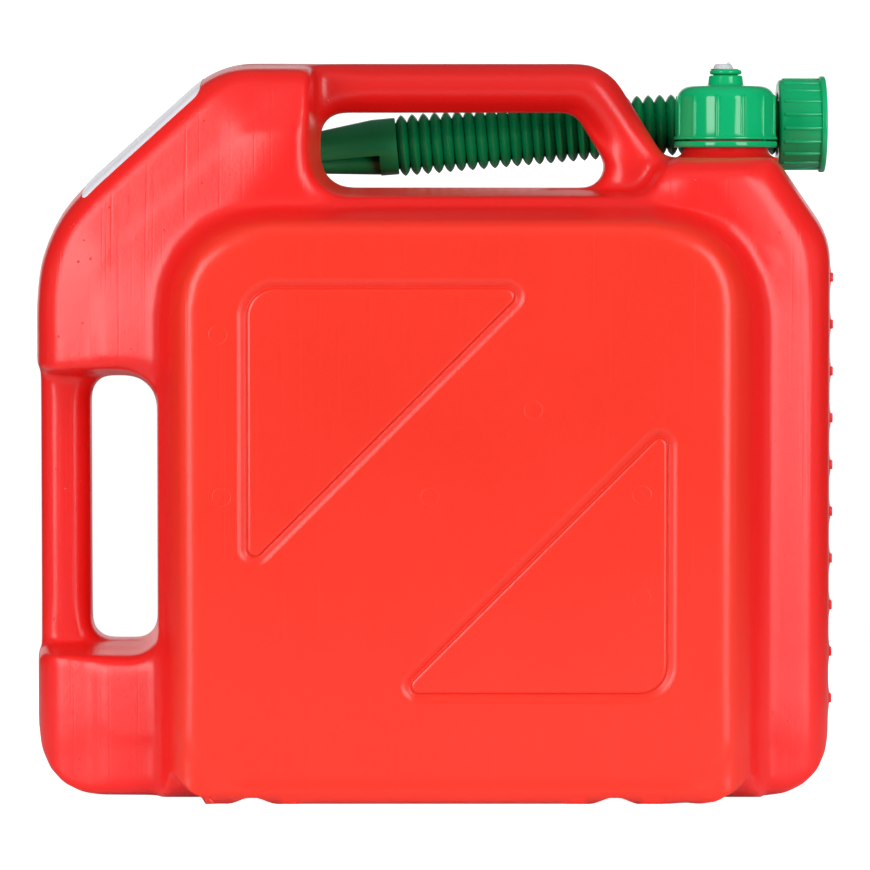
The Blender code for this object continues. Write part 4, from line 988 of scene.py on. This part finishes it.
rib_root = 0.0120
half_rib = [(0, 0), (0.0006, 0.0002), (0.0016, 0.0006), (0.0026, 0.0012), (0.0034, 0.0019),
            (0.0039, 0.0025)]
one_rib = turned("hose_rib", [
    *[(rib_root + up, along) for up, along in half_rib], (hose_crest, hose_pitch / 2),
    *[(rib_root + up, hose_pitch - along) for up, along in reversed(half_rib)]], 64, closed=False)
repeat = one_rib.modifiers.new("repeat", "ARRAY")
repeat.count = hose_ribs
repeat.use_relative_offset = False
repeat.use_constant_offset = True
repeat.constant_offset_displace = (0, 0, hose_pitch)
repeat.use_merge_vertices = True
repeat.merge_threshold = 0.00005
apply_all(one_rib)
long_cuff = turned("nut_cuff", [(hose_root, -nut_cuff_long), (hose_root, -0.0004), (rib_root, 0)],
                   64, closed=False)
short_cuff = turned("nozzle_cuff", [(rib_root, hose_length), (hose_root, hose_length + 0.0004),
                                    (hose_root, hose_length + nozzle_cuff_long)], 64,
                    closed=False)
hose = joined(one_rib, long_cuff, short_cuff)
hose.name = "corrugated_hose"
faced_out(hose, doubles=0.00005)
for vertex in hose.data.vertices:
    along = hose_start - vertex.co.z
    slope = (spout_height(along + 0.0005) - spout_height(along - 0.0005)) / 0.001
    tilt = atan(slope)
    side, up = vertex.co.x, vertex.co.y
    vertex.co = (along - up * sin(tilt), spout_y + side, spout_height(along) + up * cos(tilt))
faced_out(hose)
hose_wall = hose.modifiers.new("wall", "SOLIDIFY")
hose_wall.thickness = hose_thick
hose_wall.offset = -1
apply_all(hose)
bpy.ops.object.shade_smooth_by_angle(angle=radians(60))
hose.data.materials.append(hose_green)
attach(hose, "spout")
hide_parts("spout_hose")

# Nozzle: a stiff moulded cone with a collar over the hose's cuff. Its pouring tube lies in a
# channel behind the shoulder, and the breather tube runs in a recess on its underside.

nozzle_frame = (Matrix.Translation((hose_x, spout_y, spout_height(hose_x)))
                @ Matrix.Rotation(-pi / 2 - spout_slope, 4, "Y"))
cuff_seat = hose_root + 0.0003
nozzle_collar = cuff_seat + 0.0017
collar_long = 0.0127
cone_end = collar_long + 0.0270
nozzle_long = cone_end + 0.0480
tube_out = 0.0114
breather_out = 0.0054
recess_start = 0.0099
recess_floor = 0.0044
recess_size = (0.03, 0.06, 0.12)
pouring_bore, seat_deep = 0.0050, 0.0083


def boolean(piece, tool, operation):
    """Cut or add a tool with an exact Boolean, and throw the tool away."""
    modifier = piece.modifiers.new(operation.lower(), "BOOLEAN")
    modifier.operation = operation
    modifier.object = tool
    modifier.solver = "EXACT"
    apply_all(piece)
    bpy.data.objects.remove(tool)


nozzle = turned("pouring_nozzle", [
    (cuff_seat, 0.0003), (nozzle_collar - 0.0004, 0.0003), (nozzle_collar, 0.0008),
    (nozzle_collar - 0.0001, collar_long),
    (tube_out, cone_end), (tube_out, nozzle_long - 0.0020), (tube_out - 0.0015, nozzle_long),
    (pouring_bore, nozzle_long), (pouring_bore, seat_deep), (cuff_seat, seat_deep)], 64)
nothing_selected()
bpy.ops.mesh.primitive_cube_add(size=1, location=(0, 0, 0))
recess = bpy.context.object
bpy.ops.object.mode_set(mode="EDIT")
bpy.ops.transform.resize(value=recess_size)
bpy.ops.transform.translate(value=(-recess_floor - recess_size[0] / 2, 0,
                                   recess_start + recess_size[2] / 2))
bpy.ops.object.mode_set(mode="OBJECT")
boolean(nozzle, recess, "DIFFERENCE")
breather = turned("breather", [
    (0, recess_start - 0.0010), (breather_out, recess_start - 0.0010), (breather_out, cone_end),
    (breather_out, nozzle_long - 0.0048), (breather_out - 0.0007, nozzle_long - 0.0040),
    (0.0034, nozzle_long - 0.0040), (0.0032, nozzle_long - 0.0120), (0, nozzle_long - 0.0120)],
    40, closed=False)
for vertex in breather.data.vertices:
    down_the_cone = (cone_end - vertex.co.z) / (cone_end - collar_long)
    vertex.co.x -= (nozzle_collar - 0.0005 - tube_out) * min(max(down_the_cone, 0), 1)
put_at(breather, Matrix.Translation((breather_out - tube_out, 0, 0)))
boolean(nozzle, breather, "UNION")
rounded(nozzle, 0.0003)
put_at(nozzle, nozzle_frame)
nozzle.data.materials.append(spout_green)
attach(nozzle, "spout")
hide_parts("spout_nozzle")

# Coupling nut: a ribbed nut that screws the spout on the neck, with a flange at its open end
# and the hose's flanged sleeve held loosely inside.

nut_frame = Matrix.Translation((nut_x, spout_y, spout_z)) @ Matrix.Rotation(pi / 2, 4, "Y")
nut_out = 0.0235
nut_start = -0.0007
nut_long = 0.0241
nut_wall = 0.0025
nut_hole = cuff_seat + 0.0034
lip_out = 0.0253
lip_long = 0.0030
nut_rib_count = 20

nut = turned("coupling_nut", [
    (nut_hole, nut_start), (nut_out - 0.0016, nut_start),
    (nut_out - 0.0005, nut_start + 0.0006), (nut_out, nut_start + 0.0018),
    (nut_out, nut_long - lip_long - 0.0002), (lip_out - 0.0006, nut_long - lip_long),
    (lip_out, nut_long - lip_long + 0.0006), (lip_out, nut_long - 0.0005),
    (lip_out - 0.0004, nut_long), (skirt_bore, nut_long), (skirt_bore, nut_wall),
    (nut_hole, nut_wall)], 96)
rounded(nut, 0.0002)
nut_ribs = finger_ribs(nut_rib_count, 0.32, 14, 0.0011, 0.9, 0.0024,
                       nut_long - lip_long + 0.0008, nut_out - 0.0002)
nut_thread = helix("nut_thread", skirt_bore, -thread_rise,
                   nut_long - lip_long - inner_turns * thread_pitch, inner_turns)
nut = joined(nut, nut_thread, *nut_ribs)
put_at(nut, nut_frame)
bpy.ops.object.shade_smooth_by_angle(angle=radians(40))
nut.data.materials.append(nut_green)
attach(nut, "nut")
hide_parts("spout_nut")

flange_low = nut_wall + 0.0003
flange_high = flange_low + 0.0028
sleeve_out = cuff_seat + 0.0031
flange = turned("hose_flange", [
    (cuff_seat, 0.0003), (sleeve_out, 0.0003), (sleeve_out, flange_low),
    (sleeve_out + 0.0037, flange_low), (sleeve_out + 0.0037, flange_high),
    (cuff_seat, flange_high)], 64)
rounded(flange, 0.0003)
put_at(flange, nut_frame)
flange.data.materials.append(spout_green)
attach(flange, "spout")
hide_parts("spout_flange")

# Shoulder label: a bare white film that follows the slanted shoulder, with rounded corners and
# its near and far edges just over the rounded sides.

label_start, label_end = 0.0430, 0.1240
label_half = 0.0425
label_corner = 0.0040
film_thick = 0.00018
shoulder_top = Vector((-0.1109, 0, 0.3752))

nothing_selected()
bpy.ops.mesh.primitive_grid_add(x_subdivisions=60, y_subdivisions=60, size=1)
label = bpy.context.object
label.name = "label_film"
shoulder_foot = Vector((side_foot.x, 0, side_foot.y))
along = (shoulder_top - shoulder_foot).normalized()
out = Vector((-along.z, 0, along.x))
label_middle = shoulder_foot + along * (label_start + label_end) / 2 + out * 0.008
size_along = label_end - label_start
for vertex in label.data.vertices:
    u, v = vertex.co.x * size_along, vertex.co.y * 2 * label_half
    du = max(abs(u) - size_along / 2 + label_corner, 0)
    dv = max(abs(v) - label_half + label_corner, 0)
    past = (du * du + dv * dv) ** 0.5
    if past > label_corner:
        u -= (1 if u > 0 else -1) * du * (1 - label_corner / past)
        v -= (1 if v > 0 else -1) * dv * (1 - label_corner / past)
    vertex.co = label_middle + along * u + Vector((0, v, 0))
wrap = label.modifiers.new("wrap", "SHRINKWRAP")
wrap.target = skin
wrap.wrap_method = "PROJECT"
wrap.use_project_x = wrap.use_project_y = False
wrap.use_project_z = True
wrap.use_negative_direction = True
wrap.use_positive_direction = True
wrap.offset = 0.00022
apply_all(label)
film = label.modifiers.new("film", "SOLIDIFY")
film.thickness = film_thick
film.offset = 0
apply_all(label)
bpy.ops.object.shade_smooth_by_angle(angle=radians(50))
white, white_tree, white_shader = new_material("label_film")
white_place = white_tree.nodes.new("ShaderNodeTexCoord").outputs["Object"]
white_noise = scaled_noise(white_tree, white_place, 30)
fill_in(white_tree, white_shader,
        Base_Color=mixed(white_tree, white_noise, (0.90, 0.88, 0.96), (0.95, 0.94, 0.99)),
        Roughness=math_node(white_tree, "MULTIPLY_ADD", white_noise, 0.15, 0.25))
label.data.materials.append(white)
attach(label, "can")
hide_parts("shoulder_label")
